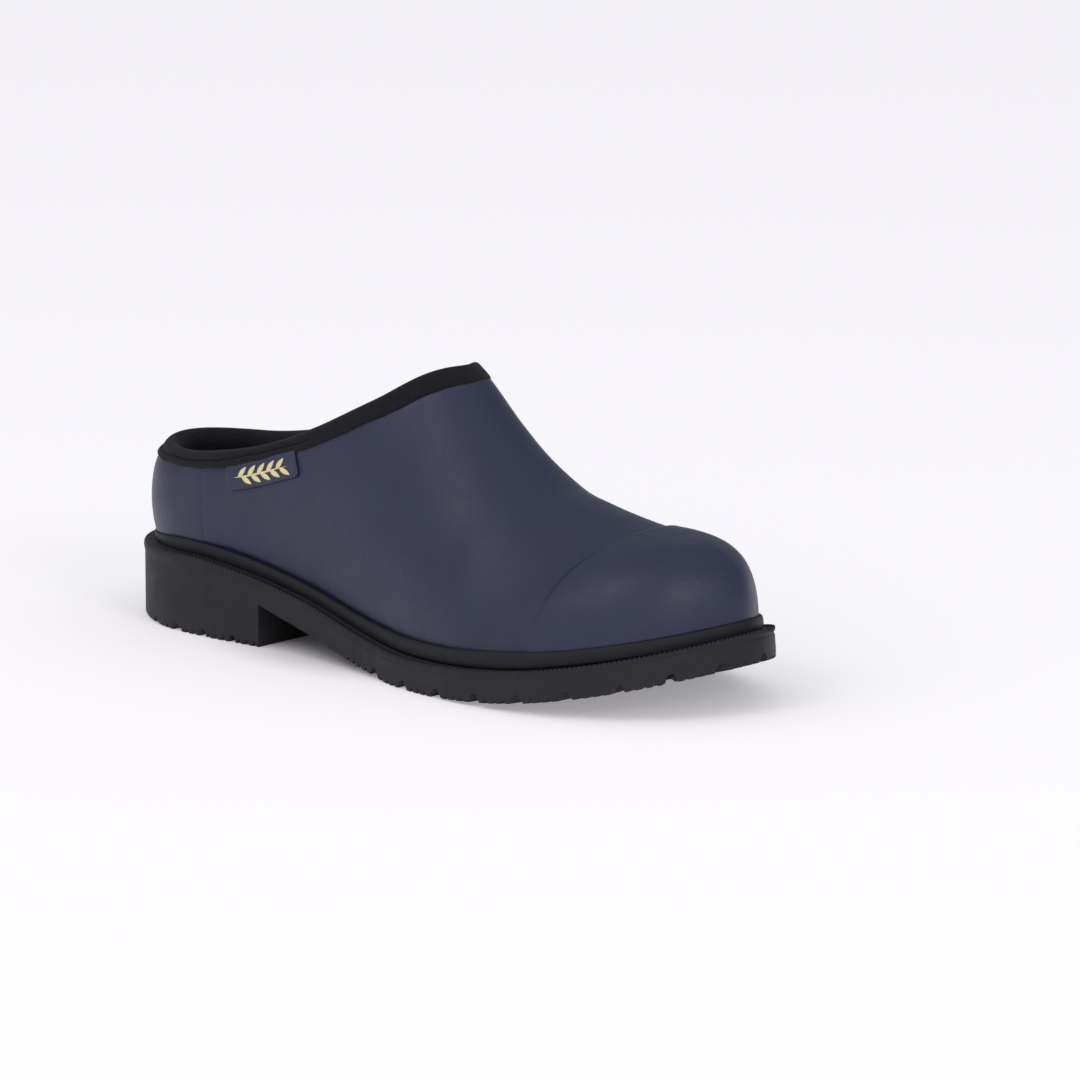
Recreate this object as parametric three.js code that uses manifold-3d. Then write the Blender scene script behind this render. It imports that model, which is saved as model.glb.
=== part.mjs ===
// Slip-on garden clog, right foot. Millimetres, +Z up, toe towards +X, outer (lateral) side towards -Y.
// Origin: middle of the outsole's length and width, on the ground.
import * as THREE from 'three';
import Module from 'manifold-3d';

const wasm = await Module();
wasm.setup();

// ---- driving dimensions ----
const HALF_LENGTH = 138;
const SOLE_THICK = 11.1; // forepart of the outsole
const HEEL_RIM_Z = 28.5; // top of the outsole at the heel
const ARCH = { from: -100, to: 22 }; // where the rim drops from heel height to forepart height
const SPRING = { from: 25, radius: 373 }; // toe spring
const HEEL_BREAST_X = -60;
const BREAST_TOP_Z = 15.3;
const BALL_X = 14; // back end of the forepart's flat contact with the ground
const FEATHER_INSET = 9; // outsole edge to the inner face of the shell
const GAP = 0.3; // clearance between layers
const LINING = 2.5;
const STIFFENER = 0.9; // toe cap and heel counter
const SHELL = 2;
const RAND = { height: 5.5, thick: 1.2 };
const HEEL_FAN_X = -104; // centre of the heel's fan of sections
const THROAT_X = 9.8; // front end of the mouth, on the ridge
const TOE_FAN_X = 99; // centre of the toe's fan of sections
const SLANT = 24; // forward lean of the toe cap's edge in plan, degrees
const COUNTER_X = -86; // front edge of the heel counter
const LINING_SPLIT_X = -15;
const RAMP = 2; // length of the shell's step over a stiffener
const BINDING = {
  thick: 1.5, dropHeel: 2.8, dropThroat: 6.6, innerDrop: 5, crown: 2.9, clear: 0.5, innerClear: 0.9,
};
const LABEL = { from: -78.5, to: -45.5, drop: 8.6, thick: 1.2 };
const BOARD = 2;
const SOCK = 0.8;
const FOAM = 4;
const COVER = 1;
const BOARD_INSET = FEATHER_INSET + LINING + 1.4;
const FOOTBED_INSET = { heel: 14.4, toe: 16.5 };
const HEEL_CUSHION = { from: -116, to: -84, y: 0.9, half: 13 };
const FORE_CUSHION = { from: 38, to: 88, y: 2.4, half: 20 };
const CUSHION_DEEP = 2.2;

// Plan of the outsole, heel first, lateral side then medial side.
const OUTLINE = [
  [-138, 3], [-134.2, -11], [-126, -21], [-110, -29.2], [-85, -32], [-60, -31.5], [-35, -32.3],
  [-5, -39], [25, -47.3], [55, -50.7], [82, -48.7], [105, -40], [122, -27.5], [133, -11],
  [138, 7], [132.6, 21.5], [120, 35.3], [99, 45.6], [75, 50.6], [50, 49], [25, 43],
  [-5, 35.5], [-35, 32], [-60, 32], [-85, 33], [-110, 30.5], [-126, 23], [-134.2, 15],
];
// Height of the closed last along its ridge; behind the throat it is the crown the mouth cuts away.
const RIDGE = [
  [-104, 83], [-84, 102], [-60, 109], [-36, 112], [-12, 112.5], [8, 104.6],
  [24, 87.9], [36, 76.3], [50, 66], [65, 61.5], [82, 58], [99, 55.2],
];
// Wall shape: x, lean outwards at the feather (degrees), lower handle, upper handle.
const WALL = [
  [-104, 20, 26, 15], [-84, 16.5, 30, 21], [-60, 14, 36, 26], [-36, 14, 39, 28], [-12, 11, 41, 24],
  [8, 6, 41, 15.5], [24, 4, 38, 15.5], [36, 5, 33, 17.5], [50, 6, 28.5, 22], [65, 5, 25, 22.5],
  [82, 0.2, 25, 21.1], [99, 1.1, 30, 16.6],
];
// Height of the mouth's edge along the shoe.
const TOPLINE = [
  [-138, 61.8], [-104, 60.7], [-84, 63.8], [-60, 69.9], [-36, 79.1], [-12, 91.3], [9.8, 103.2],
];
const CENTRE_Y = [[-138, 0.9], [-60, 0.9], [8, 2.4], [99, 4.9], [138, 5.9]];

// ---- small helpers ----
const clamp = (v, lo, hi) => Math.min(hi, Math.max(lo, v));
const lerp = (a, b, w) => a + (b - a) * w;
const smooth = (w) => clamp(w, 0, 1) ** 2 * (3 - 2 * clamp(w, 0, 1));
const radians = (deg) => (deg * Math.PI) / 180;
const range = (n) => Array.from({ length: n }, (_, i) => i);

// Cubic through a small table, one column at a time. The ends are level unless open.
function table(rows, x, column = 1, open = false) {
  const last = rows.length - 1;
  const at = clamp(x, rows[0][0], rows[last][0]);
  let i = 0;
  while (i < last - 1 && at >= rows[i + 1][0]) i += 1;
  const slope = (k) => {
    if ((k === 0 || k === last) && !open) return 0;
    const a = Math.max(0, k - 1);
    const b = Math.min(last, k + 1);
    return (rows[b][column] - rows[a][column]) / (rows[b][0] - rows[a][0]);
  };
  const h = rows[i + 1][0] - rows[i][0];
  const w = (at - rows[i][0]) / h;
  const rise = rows[i + 1][column] - rows[i][column];
  const ease = w * w * (3 - 2 * w);
  return rows[i][column] + rise * ease
    + slope(i) * h * w * (1 - w) ** 2 - slope(i + 1) * h * w * w * (1 - w);
}

const toeSpring = (x) => SPRING.radius - Math.sqrt(SPRING.radius ** 2 - Math.max(0, x - SPRING.from) ** 2);
const rimZ = (x) => {
  const drop = (HEEL_RIM_Z - SOLE_THICK) * smooth((x - ARCH.from) / (ARCH.to - ARCH.from));
  return HEEL_RIM_Z - drop + toeSpring(x);
};

const outlineCurve = new THREE.CatmullRomCurve3(
  OUTLINE.map(([x, y]) => new THREE.Vector3(x, y, 0)), true, 'centripetal',
);

// The outline, moved inwards by inset; it runs anticlockwise seen from above.
function outlineLoop(inset, count) {
  const depth = typeof inset === 'number' ? () => inset : inset;
  return range(count).map((i) => {
    const p = outlineCurve.getPoint(i / count);
    const a = outlineCurve.getPoint((i / count + 0.998) % 1);
    const b = outlineCurve.getPoint((i / count + 0.002) % 1);
    const len = Math.hypot(b.x - a.x, b.y - a.y);
    return [p.x - (depth(p.x) * (b.y - a.y)) / len, p.y + (depth(p.x) * (b.x - a.x)) / len];
  });
}
const feather = outlineLoop(FEATHER_INSET, 360);

function reachTo(loop, cx, cy, dx, dy) {
  let best = 0;
  loop.forEach(([x1, y1], i) => {
    const [x2, y2] = loop[(i + 1) % loop.length];
    const c1 = (x1 - cx) * dy - (y1 - cy) * dx;
    const c2 = (x2 - cx) * dy - (y2 - cy) * dx;
    if ((c1 <= 0) === (c2 <= 0)) return;
    const w = c1 / (c1 - c2);
    best = Math.max(best, (lerp(x1, x2, w) - cx) * dx + (lerp(y1, y2, w) - cy) * dy);
  });
  return best;
}

// A cubic Bezier through four handles.
const bez = (p, t) => (
  p[0] * (1 - t) ** 3 + 3 * p[1] * t * (1 - t) ** 2 + 3 * p[2] * t * t * (1 - t) + p[3] * t ** 3
);

// ---- the last: a skin of sections fanned round the heel, along the foot and round the toe ----
// u runs 0..1 round the heel, 1..2 along the foot, 2..3 round the toe.
const uAtX = (x) => 1 + (x - HEEL_FAN_X) / (TOE_FAN_X - HEEL_FAN_X);
const U_THROAT = uAtX(THROAT_X);

function sectionAt(u, side) {
  const along = clamp(u, 1, 2) - 1;
  const x = lerp(HEEL_FAN_X, TOE_FAN_X, along);
  let angle = 90 * Math.min(u, 1);
  if (u > 1) angle -= SLANT * smooth((x - THROAT_X) / (TOE_FAN_X - THROAT_X));
  if (u > 2) angle += (90 + SLANT) * (u - 2);
  const dx = -Math.cos(radians(angle));
  const dy = side * Math.sin(radians(angle));
  const cy = table(CENTRE_Y, x);
  const reach = reachTo(feather, x, cy, dx, dy);
  const top = table(RIDGE, x, 1, true);
  const slope = (table(RIDGE, x, 1, true) - table(RIDGE, x - 1, 1, true)) * (x > HEEL_FAN_X ? 1 : 0);
  const lean = radians(table(WALL, x, 1));
  const low = table(WALL, x, 2);
  const high = table(WALL, x, 3);
  const z0 = rimZ(x + dx * reach) + GAP;
  const r = [reach, reach + low * Math.sin(lean), high, 0];
  const z = [z0, z0 + low * Math.cos(lean), top + high * dx * slope, top];
  let cut = 1;
  if (u < U_THROAT - 1e-9) {
    let lo = 0;
    for (let k = 0; k < 40; k += 1) {
      const mid = (lo + cut) / 2;
      if (bez(z, mid) < table(TOPLINE, x + dx * bez(r, mid))) lo = mid;
      else cut = mid;
    }
  }
  return { u, side, x, cy, dx, dy, slope, cut, at: (t) => {
    const rr = bez(r, t * cut);
    return new THREE.Vector3(x + dx * rr, cy + dy * rr, bez(z, t * cut));
  } };
}

// A point on the skin, moved out by d. The feather row stays on the outsole's ledge.
function column(u, side) {
  const here = sectionAt(u, side);
  const step = 0.004;
  const before = sectionAt(Math.max(0, u - step), side);
  const after = sectionAt(Math.min(3, u + step), side);
  const closed = u >= U_THROAT - 1e-9;
  const normal = (t) => {
    if (closed && t > 1 - 1e-9) return new THREE.Vector3(-here.slope, 0, 1).normalize();
    if (u === 0 || u === 3) {
      const along = here.at(Math.min(1, t + 0.01)).sub(here.at(Math.max(0, t - 0.01)));
      return new THREE.Vector3(here.dx * along.z, 0, -here.dx * along.x).normalize();
    }
    const du = after.at(t).sub(before.at(t));
    const dv = here.at(Math.min(1, t + 0.01)).sub(here.at(Math.max(0, t - 0.01)));
    return du.cross(dv).multiplyScalar(-side).normalize();
  };
  const point = (t, d) => {
    const n = normal(t);
    if (t < 1e-9) n.setZ(0).normalize();
    const p = here.at(t).addScaledVector(n, d);
    if (t < 1e-9) p.z = rimZ(p.x) + GAP;
    return p;
  };
  return { u, side, closed, section: here, normal, point };
}

// How far the shell stands out over the stiffeners.
const overStiffener = (u) => {
  const counter = 1 - smooth((u - uAtX(COUNTER_X)) / (uAtX(COUNTER_X + RAMP) - uAtX(COUNTER_X)));
  const cap = smooth((u - uAtX(TOE_FAN_X - RAMP)) / (2 - uAtX(TOE_FAN_X - RAMP)));
  return (GAP + STIFFENER) * Math.max(counter, cap);
};
const shellIn = (c) => GAP + overStiffener(c.u);
const shellOut = (c) => shellIn(c) + SHELL;
// The binding and its stitching run smoothly past the counter's edge.
const outerDrop = (x) => lerp(BINDING.dropHeel, BINDING.dropThroat, clamp((x + 55) / (THROAT_X + 55), 0, 1));
const bindingIn = (c) => {
  const fade = 1 - smooth((c.section.x - COUNTER_X) / 36);
  return GAP + SHELL + BINDING.clear + (GAP + STIFFENER) * fade;
};

const heelUs = range(5).map((i) => i / 5);
const collarUs = [
  HEEL_FAN_X, -95, COUNTER_X, COUNTER_X + RAMP, -72, -60, -48, -36, -25, LINING_SPLIT_X, -6, 1, 5, 7.6, 9.1,
].map(uAtX);
const vampUs = [THROAT_X, 16, 23, 31, 39, 48, 58, 68, 78, 88, TOE_FAN_X - RAMP].map(uAtX);
const toeUs = range(11).map((i) => 2 + i / 10);
const sideUs = [...heelUs, ...collarUs, ...vampUs, ...toeUs];
const ROWS = 8;
const rowT = range(ROWS + 1).map((j) => j / ROWS);

// Columns from the medial side round the heel, or the lateral side round the toe.
const lateral = sideUs.map((u) => column(u, -1));
const medial = sideUs.map((u) => column(u, 1));
const wholeLoop = [...lateral, ...medial.slice(1, -1).reverse()];

// ---- mesh building ----
function weld(triangles) {
  const seen = new Map();
  const positions = [];
  const index = [];
  const id = (p) => {
    const key = [p.x, p.y, p.z].map((v) => Math.round(v * 1e4)).join();
    if (!seen.has(key)) {
      seen.set(key, positions.length / 3);
      positions.push(p.x, p.y, p.z);
    }
    return seen.get(key);
  };
  let volume = 0;
  triangles.forEach(([a, b, c]) => {
    const [i, j, k] = [id(a), id(b), id(c)];
    if (i === j || j === k || k === i) return;
    index.push(i, j, k);
    volume += a.dot(new THREE.Vector3().crossVectors(b, c));
  });
  if (volume < 0) index.reverse();
  const geometry = new THREE.BufferGeometry();
  geometry.setAttribute('position', new THREE.Float32BufferAttribute(positions, 3));
  geometry.setIndex(index);
  return geometry;
}

const quad = (a, b, c, d) => [[a, b, c], [a, c, d]];

// A sheet of the skin from dIn to dOut over the columns, closed into a loop if looped.
function layer(columns, looped, dIn, dOut) {
  const outer = columns.map((c) => rowT.map((t) => c.point(t, dOut(c))));
  const inner = columns.map((c) => rowT.map((t) => c.point(t, dIn(c))));
  const triangles = [];
  const pairs = looped ? columns.length : columns.length - 1;
  range(pairs).forEach((a) => {
    const b = (a + 1) % columns.length;
    range(ROWS).forEach((j) => {
      triangles.push(...quad(outer[a][j], outer[b][j], outer[b][j + 1], outer[a][j + 1]));
      triangles.push(...quad(inner[a][j], inner[a][j + 1], inner[b][j + 1], inner[b][j]));
    });
    triangles.push(...quad(inner[a][0], inner[b][0], outer[b][0], outer[a][0]));
    if (columns[a].closed && columns[b].closed) return;
    triangles.push(...quad(outer[a][ROWS], outer[b][ROWS], inner[b][ROWS], inner[a][ROWS]));
  });
  if (!looped) {
    const end = columns.length - 1;
    range(ROWS).forEach((j) => {
      triangles.push(...quad(inner[0][j], outer[0][j], outer[0][j + 1], inner[0][j + 1]));
      triangles.push(...quad(outer[end][j], inner[end][j], inner[end][j + 1], outer[end][j + 1]));
    });
  }
  return weld(triangles);
}

// A ring swept through cross-sections, each a list of points in the same order.
function sweep(sections) {
  const n = sections[0].length;
  const triangles = [];
  sections.forEach((here, i) => {
    const next = sections[(i + 1) % sections.length];
    range(n).forEach((j) => {
      const k = (j + 1) % n;
      triangles.push(...quad(here[j], next[j], next[k], here[k]));
    });
  });
  return weld(triangles);
}

// A sheet between two grids of points with the same shape.
function plate(front, back) {
  const triangles = [];
  const rows = front.length - 1;
  const cols = front[0].length - 1;
  range(rows).forEach((i) => range(cols).forEach((j) => {
    triangles.push(...quad(front[i][j], front[i][j + 1], front[i + 1][j + 1], front[i + 1][j]));
    triangles.push(...quad(back[i + 1][j], back[i + 1][j + 1], back[i][j + 1], back[i][j]));
  }));
  range(rows).forEach((i) => {
    triangles.push(...quad(front[i][0], front[i + 1][0], back[i + 1][0], back[i][0]));
    triangles.push(...quad(front[i + 1][cols], front[i][cols], back[i][cols], back[i + 1][cols]));
  });
  range(cols).forEach((j) => {
    triangles.push(...quad(front[0][j + 1], front[0][j], back[0][j], back[0][j + 1]));
    triangles.push(...quad(front[rows][j], front[rows][j + 1], back[rows][j + 1], back[rows][j]));
  });
  return weld(triangles);
}

function toSolid(geometry) {
  const source = geometry.index ? geometry : null;
  const p = geometry.getAttribute('position');
  let clean = source;
  if (!clean) {
    const points = range(p.count).map((i) => new THREE.Vector3().fromBufferAttribute(p, i));
    clean = weld(range(p.count / 3).map((i) => [points[3 * i], points[3 * i + 1], points[3 * i + 2]]));
  }
  return new wasm.Manifold(new wasm.Mesh({
    numProp: 3,
    vertProperties: new Float32Array(clean.getAttribute('position').array),
    triVerts: new Uint32Array(clean.index.array),
  }));
}

function fromSolid(solid) {
  const m = solid.getMesh();
  const geometry = new THREE.BufferGeometry();
  geometry.setAttribute('position', new THREE.BufferAttribute(new Float32Array(m.vertProperties), 3));
  geometry.setIndex(new THREE.BufferAttribute(new Uint32Array(m.triVerts), 1));
  return geometry;
}

// A plan loop raised from z0 to z1.
function prism(loop, z0, z1) {
  const shape = new THREE.Shape(loop.map(([x, y]) => new THREE.Vector2(x, y)));
  const geometry = new THREE.ExtrudeGeometry(shape, { depth: z1 - z0, bevelEnabled: false });
  return toSolid(geometry.translate(0, 0, z0));
}

// A side view in X and Z, given the width of the whole shoe.
function sideProfile(points, halfWidth = 70) {
  const shape = new THREE.Shape(points.map(([x, z]) => new THREE.Vector2(x, z)));
  const geometry = new THREE.ExtrudeGeometry(shape, { depth: 2 * halfWidth, bevelEnabled: false });
  return toSolid(geometry.rotateX(Math.PI / 2).translate(0, halfWidth, 0));
}

const stations = (from, to, step) => {
  const n = Math.ceil((to - from) / step);
  return range(n + 1).map((i) => lerp(from, to, i / n));
};

// A layer that follows the outsole's rim, from a to b above it.
function slab(loop, a, b) {
  const xs = loop.map(([x]) => x);
  const line = stations(Math.min(...xs) - 2, Math.max(...xs) + 2, 9);
  const profile = [
    ...line.map((x) => [x, rimZ(x) + a]),
    ...line.slice().reverse().map((x) => [x, rimZ(x) + b]),
  ];
  return sideProfile(profile).intersect(prism(loop, -5, 60));
}

// A rounded-end strip in plan.
function strip(x0, x1, y, half, ends = 5) {
  const arc = (cx, from) => range(ends + 1).map((i) => {
    const a = radians(from + (180 * i) / ends);
    return [cx + half * Math.cos(a), y + half * Math.sin(a)];
  });
  return [...arc(x1 - half, -90), ...arc(x0 + half, 90)];
}

// ---- outsole ----
const HEEL_POCKET = { from: -122, to: -72, half: 19, floor: 7 };
const FORE_POCKET = { from: 34, to: 118, depth: 4.5, inset: 16 };
const SHANK = { from: -64, to: 22, half: 8, thick: 1.4, y: 0.9, slot: 2.4 };
const GROOVE = { deep: 2.6, wide: 3 };
const CHANNEL = { from: 12, to: 112, wide: 4, y: 2.4 }; // down the middle of the forepart's tread
const FORE_NOTCHES = { from: 5, pitch: 18.4, long: 24 }; // along the sole's edge, from the waist
const HEEL_NOTCHES = { from: -72.6, pitch: 14.1, count: 5, long: 13 }; // from the breast backwards

// Underside of the waist, from the heel breast down to the ball, and of the forepart.
function archZ(x) {
  if (x > BALL_X) return toeSpring(x);
  const w = (x - HEEL_BREAST_X) / (BALL_X - HEEL_BREAST_X);
  return BREAST_TOP_Z * (1 - w) ** 2 + 2 * 3.6 * w * (1 - w);
}
const undersideZ = (x) => (x < HEEL_BREAST_X ? 0 : archZ(x));

function outsole() {
  const over = stations(-140, 140, 9);
  const under = [...stations(HEEL_BREAST_X, BALL_X, 8), ...stations(SPRING.from, 140, 9)];
  const profile = [
    [-140, 0], [HEEL_BREAST_X, 0], ...under.map((x) => [x, archZ(x)]),
    ...over.slice().reverse().map((x) => [x, rimZ(x)]),
  ];
  let body = sideProfile(profile).intersect(prism(outlineLoop(0, 112), -5, 60));
  const heelPocket = prism(heelPocketLoop(0), HEEL_POCKET.floor, 60);
  body = body.subtract(heelPocket).subtract(foreSlab(FORE_POCKET.inset, -FORE_POCKET.depth, 5));
  body = body.subtract(slab(strip(SHANK.from, SHANK.to, SHANK.y, SHANK.half), -SHANK.slot, 5));
  notches().forEach(({ p, inward, long }) => {
    const x = p.x + inward.x * (long / 2);
    const pitch = Math.atan((undersideZ(x + 2) - undersideZ(x - 2)) / 4);
    const box = new THREE.BoxGeometry(long + 4, GROOVE.wide, 2 * GROOVE.deep).translate(long / 2 - 2, 0, 0);
    box.rotateZ(Math.atan2(inward.y, inward.x)).rotateY(-pitch).translate(p.x, p.y, undersideZ(p.x));
    body = body.subtract(toSolid(box.toNonIndexed()));
  });
  const line = stations(CHANNEL.from, CHANNEL.to, 10);
  const channel = [...line.map((x) => [x, undersideZ(x) - 3]),
    ...line.slice().reverse().map((x) => [x, undersideZ(x) + GROOVE.deep])];
  body = body.subtract(sideProfile(channel, CHANNEL.wide / 2).translate([0, CHANNEL.y, 0]));
  return fromSolid(body);
}

// Ends of the tread's grooves, evenly spaced along the outline, with the way each one runs.
function notches() {
  const length = outlineCurve.getLength();
  const at = (arc) => {
    const u = (((arc / length) % 1) + 1) % 1;
    const tangent = outlineCurve.getTangentAt(u);
    return { p: outlineCurve.getPointAt(u), inward: new THREE.Vector3(-tangent.y, tangent.x, 0).normalize() };
  };
  const arcAt = (x, side) => {
    const arcs = stations(0, length, 1).filter((arc) => (at(arc).p.y - 1) * side > 0);
    return arcs.reduce((best, arc) => (Math.abs(at(arc).p.x - x) < Math.abs(at(best).p.x - x) ? arc : best));
  };
  const list = [];
  const foreFrom = arcAt(FORE_NOTCHES.from, -1);
  const foreTo = arcAt(FORE_NOTCHES.from, 1);
  for (let arc = foreFrom; arc < foreTo; arc += FORE_NOTCHES.pitch) {
    list.push({ ...at(arc), long: FORE_NOTCHES.long });
  }
  [-1, 1].forEach((side) => range(HEEL_NOTCHES.count).forEach((i) => {
    const arc = arcAt(HEEL_NOTCHES.from, side) + side * i * HEEL_NOTCHES.pitch;
    list.push({ ...at(arc), long: HEEL_NOTCHES.long });
  }));
  return list;
}

function heelPocketLoop(inset) {
  return strip(HEEL_POCKET.from + inset, HEEL_POCKET.to - inset, SHANK.y, HEEL_POCKET.half - inset, 8);
}

// The forepart's plan, inset, cut off square behind the ball.
function foreSlab(inset, a, b) {
  const whole = slab(outlineLoop(inset, 72), a, b);
  const margin = inset - FORE_POCKET.inset;
  const back = FORE_POCKET.from + margin;
  return whole.intersect(sideProfile([
    [back, -5], [FORE_POCKET.to, -5], [FORE_POCKET.to, 60], [back, 60],
  ]));
}

// ---- binding and label, laid on the skin below the mouth's edge ----
const lateralMouth = lateral.filter((c) => c.u <= U_THROAT + 1e-9);
const medialMouth = medial.filter((c) => c.u < U_THROAT - 1e-9 && c.u > 0);
const mouth = [...lateralMouth, ...medialMouth.slice().reverse()];
const mouthPoint = (c) => c.point(1, 0);
const skinPoints = [...lateral, ...medial].flatMap((c) => {
  const steps = 24;
  return range(steps).map((j) => ({ p: c.point((j + 1) / steps, 0), n: c.normal((j + 1) / steps) }));
});

// Outward normal and the direction that runs down the skin, square to the mouth's edge.
function mouthFrame(i) {
  const n = mouth[i].normal(1);
  const count = mouth.length;
  const next = mouthPoint(mouth[(i + 1) % count]);
  const along = next.sub(mouthPoint(mouth[(i + count - 1) % count])).normalize();
  n.addScaledVector(along, -n.dot(along)).normalize();
  const down = new THREE.Vector3().crossVectors(along, n).normalize();
  return { p: mouthPoint(mouth[i]), n, down };
}

// A point at a depth below the mouth's edge, d outside the skin.
function belowMouth(frame, depth, d) {
  const q = frame.p.clone().addScaledVector(frame.down, depth);
  if (depth <= 0) return q.addScaledVector(frame.n, d);
  let best = null;
  let bestGap = Infinity;
  skinPoints.forEach((s) => {
    const gap = s.p.distanceToSquared(q);
    if (gap < bestGap) [best, bestGap] = [s, gap];
  });
  const off = q.clone().sub(best.p).dot(best.n);
  const n = frame.n.clone().lerp(best.n, 0.5).normalize();
  return q.addScaledVector(best.n, -off).addScaledVector(n, d);
}

function collarBinding() {
  const sections = mouth.map((c, i) => {
    const f = mouthFrame(i);
    const inLining = -(LINING + BINDING.innerClear + 0.9 * smooth((c.section.x - THROAT_X + 14) / 10));
    const out = bindingIn(c);
    const t = BINDING.thick;
    const mid = (out + inLining) / 2;
    const drop = outerDrop(f.p.x);
    const spots = [
      [BINDING.innerDrop, inLining - t], [1.5, inLining - t - 0.1], [-1.8, inLining - t * 0.5],
      [-BINDING.crown, mid], [-1.8, out + t * 0.5], [0.8, out + t + 0.1], [drop, out + t],
      [drop, out], [drop * 0.5, out], [-0.4, out], [-0.4, inLining], [3, inLining],
      [BINDING.innerDrop, inLining],
    ];
    return spots.map(([depth, d]) => belowMouth(f, depth, d));
  });
  return sweep(sections);
}

// A frame on the lateral mouth edge at a given x, between its columns.
function edgeFrameAt(x) {
  let i = lateralMouth.length - 2;
  while (i > 0 && mouthPoint(mouth[i]).x > x) i -= 1;
  const [a, b] = [mouthFrame(i), mouthFrame(i + 1)];
  const w = (x - a.p.x) / (b.p.x - a.p.x);
  const n = a.n.lerp(b.n, w).normalize();
  const down = a.down.lerp(b.down, w).normalize();
  return { p: a.p.lerp(b.p, w), n, down };
}

const labelTop = (x) => outerDrop(x) + 0.4;
const labelOut = GAP + SHELL + 0.4;
function labelTab() {
  const xs = stations(LABEL.from, LABEL.to, 7);
  const down = range(4).map((j) => (LABEL.drop * j) / 3);
  const at = (x, y, d) => belowMouth(edgeFrameAt(x), labelTop(x) + y, labelOut + d);
  const grid = (d) => down.map((y) => xs.map((x) => at(x, y, d)));
  return plate(grid(LABEL.thick), grid(0));
}

// A sprig of leaves on a stem, raised on the label.
function labelEmblem() {
  const half = 12;
  const stem = new THREE.Shape();
  const leaves = 5;
  const pitch = (2 * half) / (leaves + 1);
  const upper = [];
  const lower = [];
  range(leaves).forEach((i) => {
    const x = -half + pitch * (i + 0.6);
    [upper, lower].forEach((list, k) => {
      const s = k === 0 ? 1 : -1;
      list.push([x, s * 0.45], [x + 0.4, s * 1.6], [x + 2, s * 2.6], [x + 2.1, s * 1.2], [x + 1.7, s * 0.45]);
    });
  });
  const tip = [[half, -0.45], [half + 1.2, 0], [half, 0.45]];
  const ring = [[-half, -0.45], ...lower, ...tip, ...upper.reverse(), [-half, 0.45]];
  ring.forEach(([x, y], i) => (i === 0 ? stem.moveTo(x, y) : stem.lineTo(x, y)));
  const solid = new THREE.ExtrudeGeometry(stem, { depth: 0.5, bevelEnabled: false });
  const p = solid.getAttribute('position');
  const middle = (LABEL.from + LABEL.to) / 2;
  range(p.count).forEach((i) => {
    const x = middle + p.getX(i);
    const depth = labelTop(x) + LABEL.drop / 2 - p.getY(i);
    const q = belowMouth(edgeFrameAt(x), depth, labelOut + LABEL.thick + 0.4 + p.getZ(i));
    p.setXYZ(i, q.x, q.y, q.z);
  });
  return fromSolid(toSolid(solid));
}

// ---- rand ----
function rand() {
  return sweep(wholeLoop.map((c) => {
    const climb = (h) => {
      const base = c.section.at(0).z;
      let t = 0;
      while (c.section.at(t).z < base + h) t += 0.002;
      return t;
    };
    const d = shellOut(c) + GAP;
    const face = GAP + SHELL + GAP + STIFFENER + GAP + RAND.thick;
    const spots = [[0, d], [0, face], [RAND.height * 0.5, face + 0.2],
      [RAND.height * 0.85, face], [RAND.height, face - RAND.thick * 0.4], [RAND.height, d]];
    return spots.map(([h, out]) => c.point(h === 0 ? 0 : climb(h), out));
  }));
}

// ---- linings, footbed and inner sole ----
const inToe = (c) => c.u >= 2;
const capColumns = [...lateral.filter(inToe), ...medial.filter(inToe).slice(0, -1).reverse()];
const inHeel = (c) => c.u <= uAtX(COUNTER_X) + 1e-9;
const counterColumns = [...medial.filter(inHeel).slice(1).reverse(), ...lateral.filter(inHeel)];
const front = (c) => c.u >= uAtX(LINING_SPLIT_X) - 1e-9;
const vampColumns = [...lateral.filter(front), ...medial.filter(front).slice(0, -1).reverse()];
const splitU = uAtX(LINING_SPLIT_X - 0.4);
const back = (c) => !front(c);
const quarterColumns = [
  column(splitU, 1), ...medial.filter(back).slice(1).reverse(), ...lateral.filter(back), column(splitU, -1),
];

const boardTop = GAP + BOARD;
const sockTop = boardTop + GAP + SOCK;
const foamFrom = sockTop + GAP;
const foamTo = foamFrom + FOAM;
const boardLoop = outlineLoop(BOARD_INSET, 72);
const footbedInset = (x) => lerp(FOOTBED_INSET.heel, FOOTBED_INSET.toe, smooth((x + 20) / 110));
const footbedLoop = outlineLoop(footbedInset, 72);

// A cushion's plan, with a gap all round it.
const cushionLoop = (c, gap) => strip(c.from + gap, c.to - gap, c.y, c.half - gap, 8);

function footbedFoam() {
  const pocket = (c) => slab(cushionLoop(c, 0), foamFrom - 3, foamFrom + CUSHION_DEEP);
  const whole = slab(footbedLoop, foamFrom, foamTo);
  return fromSolid(whole.subtract(pocket(HEEL_CUSHION)).subtract(pocket(FORE_CUSHION)));
}

const cushion = (c) => fromSolid(slab(cushionLoop(c, GAP), foamFrom, foamFrom + CUSHION_DEEP - GAP));

// ---- materials and assembly ----
const material = (color, roughness, metalness = 0) => (
  new THREE.MeshStandardMaterial({ color, roughness, metalness })
);
const soleRubber = material(0x2b2b2f, 0.7);
const navyRubber = material(0x3c3e52, 0.5);
const randRubber = material(0x26262a, 0.45);
const knit = material(0x1b1b1f, 0.9);
const lining = material(0x202024, 0.95);
const stiffener = material(0x3a3a3e, 0.8);
const board = material(0xb59a72, 0.9);
const cork = material(0xa77b4c, 0.95);
const steel = material(0x9fa2a6, 0.35, 1);
const foam = material(0x2f2f33, 0.95);
const gel = material(0x4a5a66, 0.5);
const gold = material(0xe4dcae, 0.5);

const clog = new THREE.Group();
function add(name, geometry, look) {
  const mesh = new THREE.Mesh(geometry, look);
  mesh.name = name;
  clog.add(mesh);
}

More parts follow.
